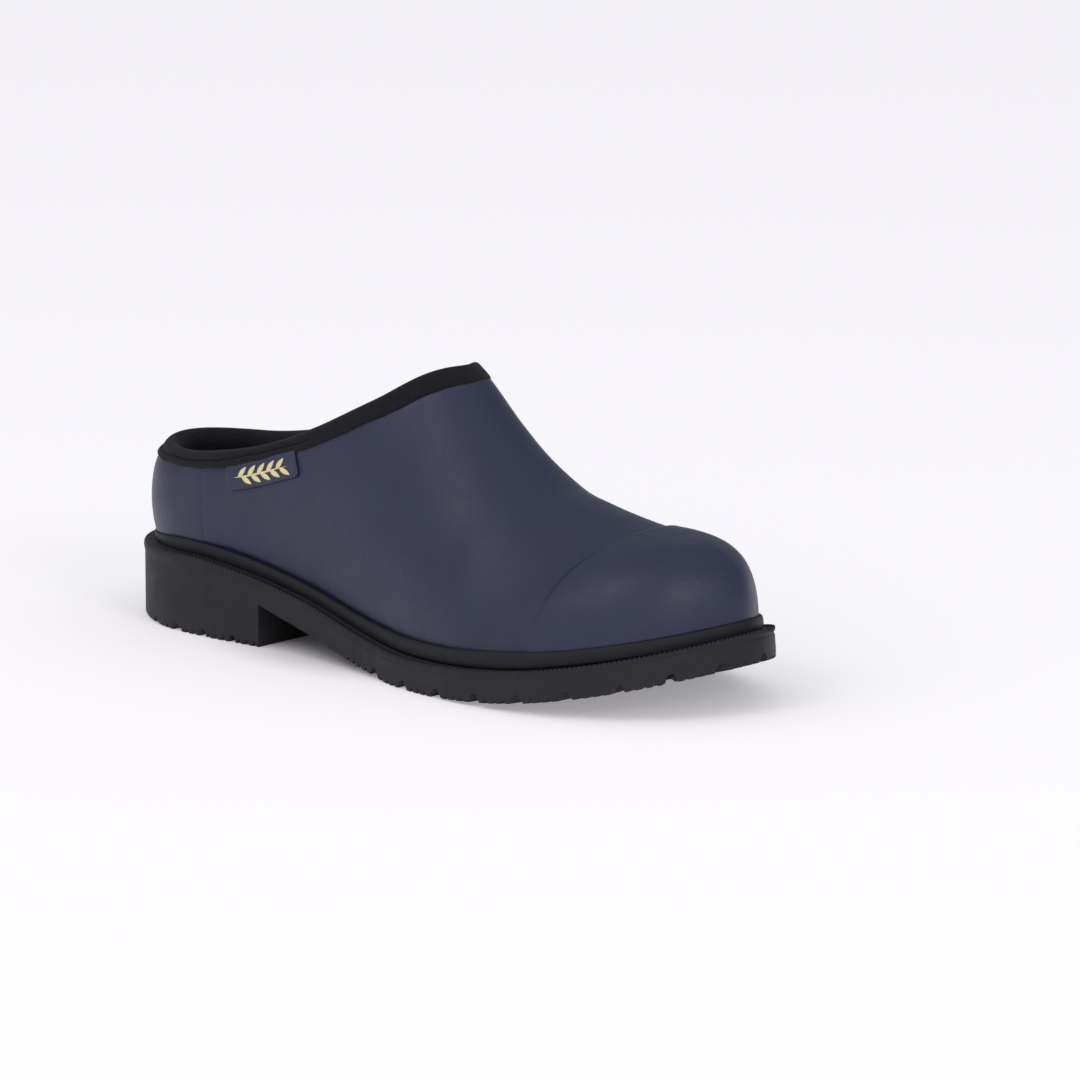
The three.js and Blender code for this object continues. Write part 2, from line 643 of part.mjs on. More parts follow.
add('outsole', outsole(), soleRubber);
add('heel_core', fromSolid(prism(heelPocketLoop(GAP), HEEL_POCKET.floor + GAP, 60)
  .intersect(slab(heelPocketLoop(GAP), -40, 0))), foam);
add('forepart_filler', fromSolid(foreSlab(FORE_POCKET.inset + GAP, GAP - FORE_POCKET.depth, 0)
  .intersect(sideProfile([[0, -5], [FORE_POCKET.to - GAP, -5], [FORE_POCKET.to - GAP, 60], [0, 60]]))), cork);
add('shank', fromSolid(slab(strip(SHANK.from + GAP, SHANK.to - GAP, SHANK.y, SHANK.half - GAP),
  GAP - SHANK.slot, GAP - SHANK.slot + SHANK.thick)), steel);
add('lasting_board', fromSolid(slab(boardLoop, GAP, boardTop)), board);
add('sole_lining', fromSolid(slab(boardLoop, boardTop + GAP, sockTop)), lining);
add('rand_strip', rand(), randRubber);
add('upper_shell', layer(wholeLoop, true, shellIn, shellOut), navyRubber);
add('toe_cap', layer(capColumns, false, () => GAP, () => GAP + STIFFENER), stiffener);
add('heel_counter', layer(counterColumns, false, () => GAP, () => GAP + STIFFENER), stiffener);
add('vamp_lining', layer(vampColumns, false, () => -LINING, () => 0), lining);
add('quarter_lining', layer(quarterColumns, false, () => -LINING, () => 0), lining);
add('collar_binding', collarBinding(), knit);
add('label_tab', labelTab(), navyRubber);
add('label_emblem', labelEmblem(), gold);
add('footbed_foam', footbedFoam(), foam);
add('footbed_cover', fromSolid(slab(footbedLoop, foamTo + GAP, foamTo + GAP + COVER)), knit);
add('heel_cushion', cushion(HEEL_CUSHION), gel);
add('forefoot_cushion', cushion(FORE_CUSHION), gel);

export default clog;
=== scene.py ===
"""Looks for the rubber garden clog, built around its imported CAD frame.

Lengths are in millimetres until a mesh is made.
"""
import math

import bmesh
import bpy
import numpy as np
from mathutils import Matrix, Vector
from mathutils.bvhtree import BVHTree


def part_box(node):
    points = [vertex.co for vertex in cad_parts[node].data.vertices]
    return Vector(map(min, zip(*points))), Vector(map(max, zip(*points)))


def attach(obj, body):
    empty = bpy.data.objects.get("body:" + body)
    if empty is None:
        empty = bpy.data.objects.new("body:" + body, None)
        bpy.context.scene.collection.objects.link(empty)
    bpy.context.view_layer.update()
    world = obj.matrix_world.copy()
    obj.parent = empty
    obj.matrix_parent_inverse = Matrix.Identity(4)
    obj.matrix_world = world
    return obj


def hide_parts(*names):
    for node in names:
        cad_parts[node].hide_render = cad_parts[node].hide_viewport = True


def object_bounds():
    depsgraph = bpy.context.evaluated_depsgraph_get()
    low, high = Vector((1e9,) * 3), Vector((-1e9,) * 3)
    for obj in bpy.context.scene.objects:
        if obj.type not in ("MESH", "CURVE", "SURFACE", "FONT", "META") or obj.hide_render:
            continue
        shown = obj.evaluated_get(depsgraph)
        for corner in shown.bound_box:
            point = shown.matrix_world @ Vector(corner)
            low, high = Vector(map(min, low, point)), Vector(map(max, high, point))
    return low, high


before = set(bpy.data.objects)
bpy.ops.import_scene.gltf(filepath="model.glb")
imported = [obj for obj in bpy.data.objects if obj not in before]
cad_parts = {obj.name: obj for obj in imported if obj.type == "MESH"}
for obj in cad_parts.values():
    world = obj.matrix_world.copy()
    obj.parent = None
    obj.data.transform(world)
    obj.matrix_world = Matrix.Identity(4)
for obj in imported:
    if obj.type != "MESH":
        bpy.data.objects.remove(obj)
cad_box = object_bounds()
CLOG, FOOTBED = "clog", "footbed"
MM = 0.001

# ---- driving dimensions, the same as the CAD's ----
HALF_LENGTH = round(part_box("outsole")[1][0] / MM, 3)
SOLE_THICK = 11.1  # forepart of the outsole
HEEL_RIM_Z = 28.5
ARCH_FROM, ARCH_TO = -100.0, 22.0
SPRING_FROM, SPRING_RADIUS = 25.0, 373.0
HEEL_BREAST_X, BREAST_TOP_Z, BALL_X = -60.0, 15.3, 14.0
WAIST_PULL = 3.6  # height of the waist curve's handle over the ground
FEATHER_INSET = 9.0
GAP = 0.3
LINING, STIFFENER, SHELL = 2.5, 0.9, 2.0
RAND_HEIGHT, RAND_THICK = 5.5, 1.2
HEEL_FAN_X, THROAT_X, TOE_FAN_X = -104.0, 9.8, 99.0
SLANT = 24.0  # forward lean of the toe cap's edge in plan, degrees
COUNTER_X, LINING_SPLIT_X, RAMP = -86.0, -15.0, 2.0
TUCK, TUCK_LONG = 0.7, 8.0  # how much thinner the shell is under the binding, and how far down
HEEL_TUCK, HEEL_TUCK_LONG = 0.6, 4.0  # the same again at the back of the heel
DROP_HEEL, DROP_THROAT, INNER_DROP = 2.8, 6.6, 5.0
LABEL_FROM, LABEL_TO, LABEL_DROP, LABEL_THICK = -78.8, -45.6, 8.6, 1.1

OUTLINE = [
    (-HALF_LENGTH, 3), (-134.2, -11), (-126, -21), (-110, -29.2), (-85, -32), (-60, -31.5),
    (-35, -32.3), (-5, -39), (25, -47.3), (55, -50.7), (82, -48.7), (105, -40), (122, -27.5), (133, -11),
    (HALF_LENGTH, 7), (132.6, 21.5), (120, 35.3), (99, 45.6), (75, 50.6), (50, 49), (25, 43),
    (-5, 35.5), (-35, 32), (-60, 32), (-85, 33), (-110, 30.5), (-126, 23), (-134.2, 15),
]
RIDGE = [(-104, 83), (-84, 102), (-60, 109), (-36, 112), (-12, 112.5), (8, 104.6),
         (24, 87.9), (36, 76.3), (50, 66), (65, 61.5), (82, 58), (99, 55.2)]
WALL = [(-104, 20, 26, 15), (-84, 16.5, 30, 21), (-60, 14, 36, 26), (-36, 14, 39, 28), (-12, 11, 41, 24),
        (8, 6, 41, 15.5), (24, 4, 38, 15.5), (36, 5, 33, 17.5), (50, 6, 28.5, 22), (65, 5, 25, 22.5),
        (82, 0.2, 25, 21.1), (99, 1.1, 30, 16.6)]
TOPLINE = [(-HALF_LENGTH, 61.8), (-104, 60.7), (-84, 63.8), (-60, 69.9), (-36, 79.1), (-12, 91.3),
           (9.8, 103.2)]
CENTRE_Y = [(-HALF_LENGTH, 0.9), (-60, 0.9), (8, 2.4), (99, 4.9), (HALF_LENGTH, 5.9)]


# ---- shared curves ----
def smooth(w):
    w = np.clip(w, 0, 1)
    return w * w * (3 - 2 * w)


def table(rows, x, column=1, open_ends=False):
    """Cubic through a small table; the ends are level unless open."""
    t = np.array(rows, float)
    xs, ys = t[:, 0], t[:, column]
    slope = np.gradient(ys, xs, edge_order=1)
    slope[1:-1] = (ys[2:] - ys[:-2]) / (xs[2:] - xs[:-2])
    if not open_ends:
        slope[[0, -1]] = 0
    x = np.clip(np.asarray(x, float), xs[0], xs[-1])
    i = np.clip(np.searchsorted(xs, x, side="right") - 1, 0, len(xs) - 2)
    h = xs[i + 1] - xs[i]
    w = (x - xs[i]) / h
    ease = w * w * (3 - 2 * w)
    rise = ys[i] + (ys[i + 1] - ys[i]) * ease
    return rise + slope[i] * h * w * (1 - w) ** 2 - slope[i + 1] * h * w * w * (1 - w)


def toe_spring(x):
    dx = np.clip(np.asarray(x, float) - SPRING_FROM, 0, None)
    return SPRING_RADIUS - np.sqrt(SPRING_RADIUS**2 - dx**2)


def rim_z(x):
    drop = (HEEL_RIM_Z - SOLE_THICK) * smooth((np.asarray(x, float) - ARCH_FROM) / (ARCH_TO - ARCH_FROM))
    return HEEL_RIM_Z - drop + toe_spring(x)


def arch_z(x):
    w = (x - HEEL_BREAST_X) / (BALL_X - HEEL_BREAST_X)
    waist = BREAST_TOP_Z * (1 - w) ** 2 + 2 * WAIST_PULL * w * (1 - w)
    return np.where(x > BALL_X, toe_spring(x), waist)


def closed_curve(points, count):
    """Centripetal Catmull-Rom through a ring of points."""
    p = np.array(points, float)
    n = len(p)
    u = np.arange(count) * n / count
    i = u.astype(int)
    w = (u - i)[:, None]
    p0, p1, p2, p3 = p[i - 1], p[i], p[(i + 1) % n], p[(i + 2) % n]
    d0, d1, d2 = (np.linalg.norm(b - a, axis=1)[:, None] ** 0.5 for a, b in ((p0, p1), (p1, p2), (p2, p3)))
    m1 = ((p1 - p0) / d0 - (p2 - p0) / (d0 + d1) + (p2 - p1) / d1) * d1
    m2 = ((p2 - p1) / d1 - (p3 - p1) / (d1 + d2) + (p3 - p2) / d2) * d1
    return (p1 * (2 * w**3 - 3 * w**2 + 1) + m1 * (w**3 - 2 * w**2 + w)
            + p2 * (3 * w**2 - 2 * w**3) + m2 * (w**3 - w**2))


def inset(curve, amount):
    along = np.roll(curve, -1, 0) - np.roll(curve, 1, 0)
    inward = np.stack([-along[:, 1], along[:, 0]], 1)
    return curve + inward / np.linalg.norm(inward, axis=1)[:, None] * np.reshape(amount, (-1, 1))


outline = closed_curve(OUTLINE, 1600)
feather = inset(outline, FEATHER_INSET)


def reach_to(loop, centre, direction):
    """Distance from each centre, along each direction, to the farthest crossing of the loop."""
    a = loop[None] - centre[:, None]
    cross = a[..., 0] * direction[:, None, 1] - a[..., 1] * direction[:, None, 0]
    cross2, b = np.roll(cross, -1, 1), np.roll(a, -1, 1)
    hit = (cross <= 0) != (cross2 <= 0)
    w = np.where(hit, cross / np.where(hit, cross - cross2, 1), 0)[..., None]
    dist = ((a * (1 - w) + b * w) * direction[:, None]).sum(-1)
    return np.where(hit, dist, 0).max(1)


# ---- the last ----
def u_at(x):
    return 1 + (x - HEEL_FAN_X) / (TOE_FAN_X - HEEL_FAN_X)


U_THROAT = u_at(THROAT_X)


class Sections:
    """Sections of the last on one side, at stations u.

    u runs 0..1 round the heel, 1..2 along the foot and 2..3 round the toe.
    """

    def __init__(self, u, side):
        u = np.asarray(u, float)
        self.u, self.side = u, np.broadcast_to(side, u.shape)
        self.x = HEEL_FAN_X + (TOE_FAN_X - HEEL_FAN_X) * (np.clip(u, 1, 2) - 1)
        slant = SLANT * smooth((self.x - THROAT_X) / (TOE_FAN_X - THROAT_X))
        angle = np.where(u < 1, 90 * u, 90 - slant) + np.where(u > 2, (90 + SLANT) * (u - 2), 0)
        angle = np.radians(angle)
        self.dir = np.stack([-np.cos(angle), self.side * np.sin(angle)], 1)
        self.centre = np.stack([self.x, table(CENTRE_Y, self.x)], 1)
        self.reach = reach_to(feather, self.centre, self.dir)
        top = table(RIDGE, self.x, 1, True)
        self.slope = np.where(self.x > HEEL_FAN_X, top - table(RIDGE, self.x - 1, 1, True), 0)
        lean = np.radians(table(WALL, self.x, 1))
        low, high = table(WALL, self.x, 2), table(WALL, self.x, 3)
        z0 = rim_z(self.x + self.dir[:, 0] * self.reach) + GAP
        self.r4 = np.stack([self.reach, self.reach + low * np.sin(lean), high, 0 * high], 1)
        self.z4 = np.stack([z0, z0 + low * np.cos(lean), top + high * self.dir[:, 0] * self.slope, top], 1)
        self.cut = np.ones_like(u)
        lo, hi = np.zeros_like(u), np.ones_like(u)
        for _ in range(30):
            mid = (lo + hi) / 2
            at_x = self.x + self.dir[:, 0] * self.bez(self.r4, mid[:, None])[:, 0]
            below = self.bez(self.z4, mid[:, None])[:, 0] < table(TOPLINE, at_x)
            lo, hi = np.where(below, mid, lo), np.where(below, hi, mid)
        self.cut = np.where(u < U_THROAT - 1e-9, hi, 1.0)

    @staticmethod
    def bez(p, t):
        q0, q1, q2, q3 = np.moveaxis(p[:, None, :], -1, 0)
        return q0 * (1 - t) ** 3 + 3 * q1 * t * (1 - t) ** 2 + 3 * q2 * t * t * (1 - t) + q3 * t**3

    def points(self, t):
        """Grid of points at fractions t of the way up each section."""
        tt = np.asarray(t)[None, :] * self.cut[:, None]
        r, z = self.bez(self.r4, tt), self.bez(self.z4, tt)
        return np.stack([self.centre[:, None, 0] + self.dir[:, None, 0] * r,
                         self.centre[:, None, 1] + self.dir[:, None, 1] * r, z], -1)


class Skin:
    """A grid of points and outward normals over a loop or run of sections."""

    def __init__(self, u, side, rows):
        self.sec = Sections(u, side)
        self.t = np.linspace(0, 1, rows + 1)
        self.p = self.sec.points(self.t)
        step = 0.004
        before = Sections(np.maximum(0, self.sec.u - step), side).points(self.t)
        after = Sections(np.minimum(3, self.sec.u + step), side).points(self.t)
        dt = 0.01
        up = self.sec.points(np.minimum(1, self.t + dt)) - self.sec.points(np.maximum(0, self.t - dt))
        n = np.cross(after - before, up) * -self.sec.side[:, None, None]
        ends = (self.sec.u == 0) | (self.sec.u == 3)
        dx = self.sec.dir[ends, None, 0]
        n[ends] = np.stack([dx * up[ends][..., 2], 0 * up[ends][..., 2], -dx * up[ends][..., 0]], -1)
        self.closed = self.sec.u >= U_THROAT - 1e-9
        level = 0 * self.sec.slope
        upright = np.stack([-self.sec.slope, level, 1 + level], 1)
        n[self.closed, -1] = upright[self.closed]
        self.n = n / np.linalg.norm(n, axis=2)[..., None]

    def at(self, d):
        """The grid moved out by d, a number, a value per section or a value per point."""
        n = self.n.copy()
        n[:, 0, 2] = 0
        n[:, 0] /= np.linalg.norm(n[:, 0], axis=1)[:, None]
        d = np.asarray(d, float)
        d = d[:, None] if d.ndim == 1 else d
        q = self.p + n * np.broadcast_to(d, self.p.shape[:2])[..., None]
        q[:, 0, 2] = rim_z(q[:, 0, 0]) + GAP
        return q


def side_stations(step):
    """Stations along one side about step apart, finer at the throat and over the stiffeners' edges."""
    heel = np.linspace(0, 1, int(50 / step) + 1)
    n = int((THROAT_X - HEEL_FAN_X) / step)
    collar = u_at(HEEL_FAN_X + (THROAT_X - HEEL_FAN_X) * np.sin(np.linspace(0, math.pi / 2, int(n * 1.3))))
    vamp = np.linspace(U_THROAT, 2, int(95 / step) + 1)
    toe = np.linspace(2, 3, int(75 / step) + 1)
    ramps = [u_at(COUNTER_X + RAMP * w) for w in np.linspace(-0.3, 1.3, 9)]
    ramps += [u_at(TOE_FAN_X - 0.6 * w) for w in range(14)]
    ramps += [u_at(COUNTER_X - 3.5 + w) for w in np.linspace(-1.8, 1.8, 9)]
    u = np.unique(np.round(np.concatenate([heel, collar, vamp, toe, ramps]), 5))
    keep = [u[0]]
    for v in u[1:]:
        if v - keep[-1] > 0.0012:
            keep.append(v)
    keep = np.array(keep)
    keep[np.argmin(abs(keep - U_THROAT))] = U_THROAT
    keep[np.argmin(abs(keep - 2))] = 2
    keep[-1] = 3
    return keep


def loop_stations(step):
    u = side_stations(step)
    return np.concatenate([u, u[1:-1][::-1]]), np.concatenate([-np.ones(len(u)), np.ones(len(u) - 2)])


def over_stiffener(u):
    counter = 1 - smooth((u - u_at(COUNTER_X)) / (u_at(COUNTER_X + RAMP) - u_at(COUNTER_X)))
    cap = smooth((u - u_at(TOE_FAN_X - RAMP)) / (2 - u_at(TOE_FAN_X - RAMP)))
    return (GAP + STIFFENER) * np.maximum(counter, cap)


CAP_EDGE_ROUND = 8.0  # how softly the toe cap's edge turns over the ridge
CAP_RAMP = 3.2
SEAM_DEEP, SEAM_BEHIND, SEAM_WIDE = 0.14, 3.5, 0.9  # faint line behind the counter's edge


def soft_step(skin):
    """How the shell's outside swells over the stiffeners, less the seam line."""
    along = (HEEL_FAN_X + (TOE_FAN_X - HEEL_FAN_X) * (skin.sec.u - 1))[:, None]
    counter = 1 - smooth((along - COUNTER_X + 9) / 16)
    x, y = skin.p[..., 0], skin.p[..., 1]
    edge = TOE_FAN_X - math.tan(math.radians(SLANT)) * np.hypot(y - table(CENTRE_Y, x), CAP_EDGE_ROUND)
    cap = smooth((x - edge + CAP_RAMP) / CAP_RAMP)
    seam = SEAM_DEEP * np.exp(-(((along - COUNTER_X + SEAM_BEHIND) / SEAM_WIDE) ** 2))
    return (GAP + STIFFENER) * np.maximum(counter, cap) - seam


# ---- mesh building ----
def make(name, verts, faces, material, body=CLOG, replaces=(), slot=None, merge=0.002):
    """A piece from millimetre points and faces, welded, with its faces pointing out."""
    mesh = bpy.data.meshes.new(name)
    mesh.from_pydata((np.asarray(verts) * MM).tolist(), [], [list(map(int, f)) for f in faces])
    bm = bmesh.new()
    bm.from_mesh(mesh)
    bmesh.ops.remove_doubles(bm, verts=bm.verts, dist=merge * MM)
    bmesh.ops.dissolve_degenerate(bm, edges=bm.edges, dist=1e-8)
    bmesh.ops.recalc_face_normals(bm, faces=bm.faces)
    bm.to_mesh(mesh)
    bm.free()
    mesh.polygons.foreach_set("use_smooth", [True] * len(mesh.polygons))
    obj = bpy.data.objects.new(name, mesh)
    bpy.context.collection.objects.link(obj)
    mesh.materials.append(material)
    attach(obj, body)
    if replaces:
        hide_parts(*replaces)
    return obj


def grid_faces(rows, cols, offset=0, wrap_rows=False, wrap_cols=False):
    i = np.arange(rows if wrap_rows else rows - 1)
    j = np.arange(cols if wrap_cols else cols - 1)
    a = (i[:, None] * cols + j[None, :]).ravel()
    b = (((i + 1) % rows)[:, None] * cols + j[None, :]).ravel()
    c = (((i + 1) % rows)[:, None] * cols + ((j + 1) % cols)[None, :]).ravel()
    d = (i[:, None] * cols + ((j + 1) % cols)[None, :]).ravel()
    return np.stack([a, b, c, d], 1) + offset


def layer(name, skin, d_in, d_out, looped, material, **kw):
    """A closed sheet of the skin between two offsets."""
    outer, inner = skin.at(d_out), skin.at(d_in)
    n, m = outer.shape[:2]
    faces = [grid_faces(n, m, 0, looped), grid_faces(n, m, n * m, looped)[:, ::-1]]
    pairs = [(a, (a + 1) % n) for a in range(n if looped else n - 1)]
    rims = []
    for a, b in pairs:
        rims.append([a * m, n * m + a * m, n * m + b * m, b * m])
        if not (skin.closed[a] and skin.closed[b]):
            top = m - 1
            rims.append([a * m + top, b * m + top, n * m + b * m + top, n * m + a * m + top])
    if not looped:
        for c in (0, n - 1):
            for j in range(m - 1):
                rims.append([c * m + j, c * m + j + 1, n * m + c * m + j + 1, n * m + c * m + j])
    verts = np.concatenate([outer.reshape(-1, 3), inner.reshape(-1, 3)])
    return make(name, verts, [tuple(f) for part in faces for f in part] + rims, material, **kw)


def sweep(name, rings, material, **kw):
    """A closed ring through cross-sections, an array of section, point, xyz."""
    n, m = rings.shape[:2]
    return make(name, rings.reshape(-1, 3), grid_faces(n, m, 0, True, True), material, **kw)


# ---- materials ----
class Look:
    """A Principled material whose colour, roughness and bump come from nodes in object space."""

    def __init__(self, name, roughness=0.5, **sockets):
        self.material = bpy.data.materials.new(name)
        self.material.use_nodes = True
        self.tree = self.material.node_tree
        self.shader = self.tree.nodes["Principled BSDF"]
        self.shader.inputs["Roughness"].default_value = roughness
        for key, value in sockets.items():
            self.shader.inputs[key.replace("_", " ")].default_value = value
        self.coords = self.node("ShaderNodeTexCoord").outputs["Object"]
        self.normal = None

    def node(self, kind, inputs=None, **settings):
        node = self.tree.nodes.new(kind)
        for key, value in settings.items():
            setattr(node, key, value)
        for key, value in (inputs or {}).items():
            if isinstance(value, bpy.types.NodeSocket):
                self.tree.links.new(value, node.inputs[key])
            else:
                node.inputs[key].default_value = value
        return node

    def link(self, output, socket):
        self.tree.links.new(output, self.shader.inputs[socket])

    def stretched(self, scale):
        return self.node("ShaderNodeMapping", {"Vector": self.coords, "Scale": scale}).outputs["Vector"]

    def noise(self, size_mm, detail=3.0, rough=0.55, vector=None):
        """Noise with features of about size_mm, 0 to 1."""
        return self.node("ShaderNodeTexNoise", {"Vector": vector or self.coords, "Scale": 1000 / size_mm,
                                                "Detail": detail, "Roughness": rough}).outputs["Fac"]

    def cells(self, size_mm, feature="F1", vector=None):
        return self.node("ShaderNodeTexVoronoi", {"Vector": vector or self.coords, "Scale": 1000 / size_mm},
                         feature=feature).outputs["Distance"]

    def ramp(self, value, stops):
        ramp = self.node("ShaderNodeValToRGB", {"Fac": value})
        points = ramp.color_ramp.elements
        for i, (at, colour) in enumerate(stops):
            point = points[i] if i < 2 else points.new(at)
            point.position = at
            point.color = (*colour, 1) if len(colour) == 3 else (colour[0],) * 3 + (1,)
        return ramp.outputs["Color"]

    def math(self, operation, a, b):
        return self.node("ShaderNodeMath", {0: a, 1: b}, operation=operation).outputs[0]

    def bump(self, height, depth_mm, strength=1.0):
        """Adds a bump that is depth_mm high where the height is 1."""
        inputs = {"Height": height, "Distance": depth_mm * MM, "Strength": strength}
        if self.normal:
            inputs["Normal"] = self.normal
        self.normal = self.node("ShaderNodeBump", inputs).outputs["Normal"]
        self.link(self.normal, "Normal")
        return self


def between(a, b):
    return [(0.3, a), (0.7, b)]


def rubber(name, dark, light, roughness, spread, grain_mm, grain_depth, specular):
    """Moulded rubber: mottled colour, uneven gloss, a fine pebble and faint flow marks."""
    look = Look(name, roughness, Specular_IOR_Level=specular)
    look.link(look.ramp(look.noise(28, 4), between(dark, light)), "Base Color")
    gloss = [(0.25, (roughness - spread,)), (0.75, (roughness + spread,))]
    look.link(look.ramp(look.noise(9, 5, 0.65), gloss), "Roughness")
    pebble = look.math("ADD", look.cells(grain_mm, "SMOOTH_F1"), look.noise(grain_mm * 0.55, 2))
    look.bump(pebble, grain_depth)
    look.bump(look.noise(14, 2), 0.12)
    return look.material


def knit(name, dark, light, rib_mm=1.1, depth=0.16):
    """Fine knit-faced cloth: crossing ribs, loose fibres and a soft sheen."""
    look = Look(name, 0.9, Specular_IOR_Level=0.1, Sheen_Weight=0.05, Sheen_Roughness=0.6)
    look.link(look.ramp(look.noise(2.2, 6, 0.7), between(dark, light)), "Base Color")
    ribs = look.cells(rib_mm, "F1", look.stretched((1, 1, 1.6)))
    look.bump(ribs, depth)
    look.bump(look.noise(0.35, 3, 0.7), 0.06)
    look.bump(look.noise(11, 2), 0.25)
    return look.material


navy = rubber("navy_rubber", (0.0125, 0.0162, 0.046), (0.0155, 0.0198, 0.054),
              roughness=0.43, spread=0.06, grain_mm=1.0, grain_depth=0.08, specular=0.42)
label_navy = rubber("label_rubber", (0.0135, 0.017, 0.05), (0.0165, 0.0205, 0.058),
                    roughness=0.42, spread=0.04, grain_mm=0.9, grain_depth=0.01, specular=0.42)
sole_black = rubber("outsole_rubber", (0.0065, 0.0065, 0.0095), (0.009, 0.009, 0.0125),
                    roughness=0.62, spread=0.07, grain_mm=0.7, grain_depth=0.03, specular=0.36)
rand_black = rubber("rand_rubber", (0.007, 0.007, 0.0105), (0.0095, 0.0095, 0.013),
                    roughness=0.58, spread=0.06, grain_mm=1.2, grain_depth=0.015, specular=0.26)
binding_cloth = knit("binding_knit", (0.006, 0.006, 0.008), (0.0105, 0.0105, 0.0135))
lining_cloth = knit("lining_cloth", (0.004, 0.004, 0.005), (0.008, 0.008, 0.0095), 0.9, 0.12)
top_cloth = knit("footbed_cloth", (0.006, 0.006, 0.0075), (0.011, 0.011, 0.0135), 1.3, 0.2)


def foam_look(name, dark, light):
    look = Look(name, 0.85, Specular_IOR_Level=0.2)
    look.link(look.ramp(look.noise(1.4, 5, 0.7), between(dark, light)), "Base Color")
    look.bump(look.cells(0.8), 0.12)
    return look.material


def print_look(name):
    look = Look(name, 0.42, Specular_IOR_Level=0.5)
    look.link(look.ramp(look.noise(1.8, 5, 0.7), between((0.62, 0.53, 0.24), (0.78, 0.7, 0.4))), "Base Color")
    look.link(look.ramp(look.noise(0.9, 4), [(0.3, (0.34,)), (0.7, (0.5,))]), "Roughness")
    look.bump(look.noise(0.5, 3), 0.03)
    return look.material


def board_look(name, dark, light, grain):
    look = Look(name, 0.9, Specular_IOR_Level=0.2)
    look.link(look.ramp(look.noise(grain, 8, 0.75), between(dark, light)), "Base Color")
    look.bump(look.cells(grain * 0.6), 0.15)
    return look.material


def steel_look(name):
    look = Look(name, 0.34, Metallic=1.0)
    brushed = look.noise(0.8, 6, 0.6, look.stretched((0.05, 1, 1)))
    look.link(look.ramp(brushed, between((0.42, 0.42, 0.43), (0.56, 0.56, 0.57))), "Base Color")
    look.link(look.ramp(brushed, [(0.3, (0.28,)), (0.7, (0.42,))]), "Roughness")
    look.bump(brushed, 0.02)
    return look.material


hidden_looks = {
    "heel_core": foam_look("core_foam", (0.16, 0.16, 0.16), (0.24, 0.24, 0.24)),
    "forepart_filler": board_look("filler_cork", (0.2, 0.11, 0.05), (0.45, 0.28, 0.14), 1.6),
    "shank": steel_look("shank_steel"),
    "lasting_board": board_look("insole_board", (0.34, 0.24, 0.14), (0.5, 0.38, 0.24), 2.4),
    "sole_lining": lining_cloth,
    "toe_cap": foam_look("stiffener_sheet", (0.035, 0.035, 0.04), (0.06, 0.06, 0.065)),
    "heel_cushion": foam_look("cushion_gel", (0.05, 0.08, 0.11), (0.08, 0.13, 0.17)),
}
hidden_looks["heel_counter"] = hidden_looks["toe_cap"]
hidden_looks["forefoot_cushion"] = hidden_looks["heel_cushion"]
for node, look in hidden_looks.items():
    for slot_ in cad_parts[node].material_slots:
        slot_.material = look

# ---- upper and linings ----
u_loop, side_loop = loop_stations(2.0)
base = Skin(u_loop, side_loop, 44)
shell_in = GAP + over_stiffener(base.sec.u)
shell_face = GAP + SHELL + soft_step(base)
run = np.linalg.norm(np.diff(base.p, axis=1), axis=2)
climbed = np.concatenate([np.zeros((len(run), 1)), np.cumsum(run, 1)], 1)
to_edge = climbed[:, -1:] - climbed
tucked = np.where(base.sec.u < U_THROAT + 0.02, 1 - smooth((base.sec.u - U_THROAT + 0.01) / 0.03), 0)
at_heel = smooth((-98 - base.p[:, -1, 0]) / 25)[:, None]
thinner = TUCK * smooth(1 - to_edge / TUCK_LONG) + HEEL_TUCK * at_heel * smooth(1 - to_edge / HEEL_TUCK_LONG)
shell_out = shell_face - thinner * tucked[:, None]
layer("upper_visual", base, shell_in, shell_out, True, navy, replaces=["upper_shell"], slot="upper_rubber")


def over_the_middle(first, second, side):
    """Skin that runs along the first stations on one side and back along the second on the other."""
    sides = np.concatenate([np.full(len(first), side), np.full(len(second), -side)])
    return Skin(np.concatenate([first, second]), sides, 24)


u_side = side_stations(4.0)
split = u_at(LINING_SPLIT_X)
u_back = np.concatenate([u_side[u_side < split - 0.002], [u_at(LINING_SPLIT_X - 0.4)]])
u_front = np.concatenate([[split], u_side[u_side > split + 0.002]])
quarter = over_the_middle(u_back[::-1], u_back[1:], 1.0)
vamp = over_the_middle(u_front, u_front[:-1][::-1], -1.0)
layer("quarter_lining_visual", quarter, -LINING, 0, False, lining_cloth,
      replaces=["quarter_lining"], slot="lining_fabric")
layer("vamp_lining_visual", vamp, -LINING, 0, False, lining_cloth,
      replaces=["vamp_lining"], slot="lining_fabric")


# ---- rand ----
def climb(skin, height):
    """Fraction up each section at which it is height above its foot."""
    z = skin.sec.bez(skin.sec.z4, skin.t[None] * skin.sec.cut[:, None])
    return np.array([np.interp(z[i, 0] + height[i], z[i], skin.t) for i in range(len(z))])


def on_skin(skin, t, d):
    """One point per section, at its own fraction t and offset d."""
    rows = t * (len(skin.t) - 1)
    j = np.clip(rows.astype(int), 0, len(skin.t) - 2)
    w = (rows - j)[:, None]
    k = np.arange(len(t))
    p = skin.p[k, j] * (1 - w) + skin.p[k, j + 1] * w
    n = skin.n[k, j] * (1 - w) + skin.n[k, j + 1] * w
    flat = t < 1e-9
    n[flat, 2] = 0
    n /= np.linalg.norm(n, axis=1)[:, None]
    q = p + n * np.reshape(np.broadcast_to(d, t.shape), (-1, 1))
    q[flat, 2] = rim_z(q[flat, 0]) + GAP
    return q


rand_in = shell_in + SHELL + GAP
rand_face = GAP + SHELL + GAP + STIFFENER + GAP + RAND_THICK
rand_face = rand_face - 0.65 * smooth((-104 - base.p[:, 0, 0]) / 22)
rand_height = 1 - 0.4 * smooth((-100 - base.p[:, 0, 0]) / 25)
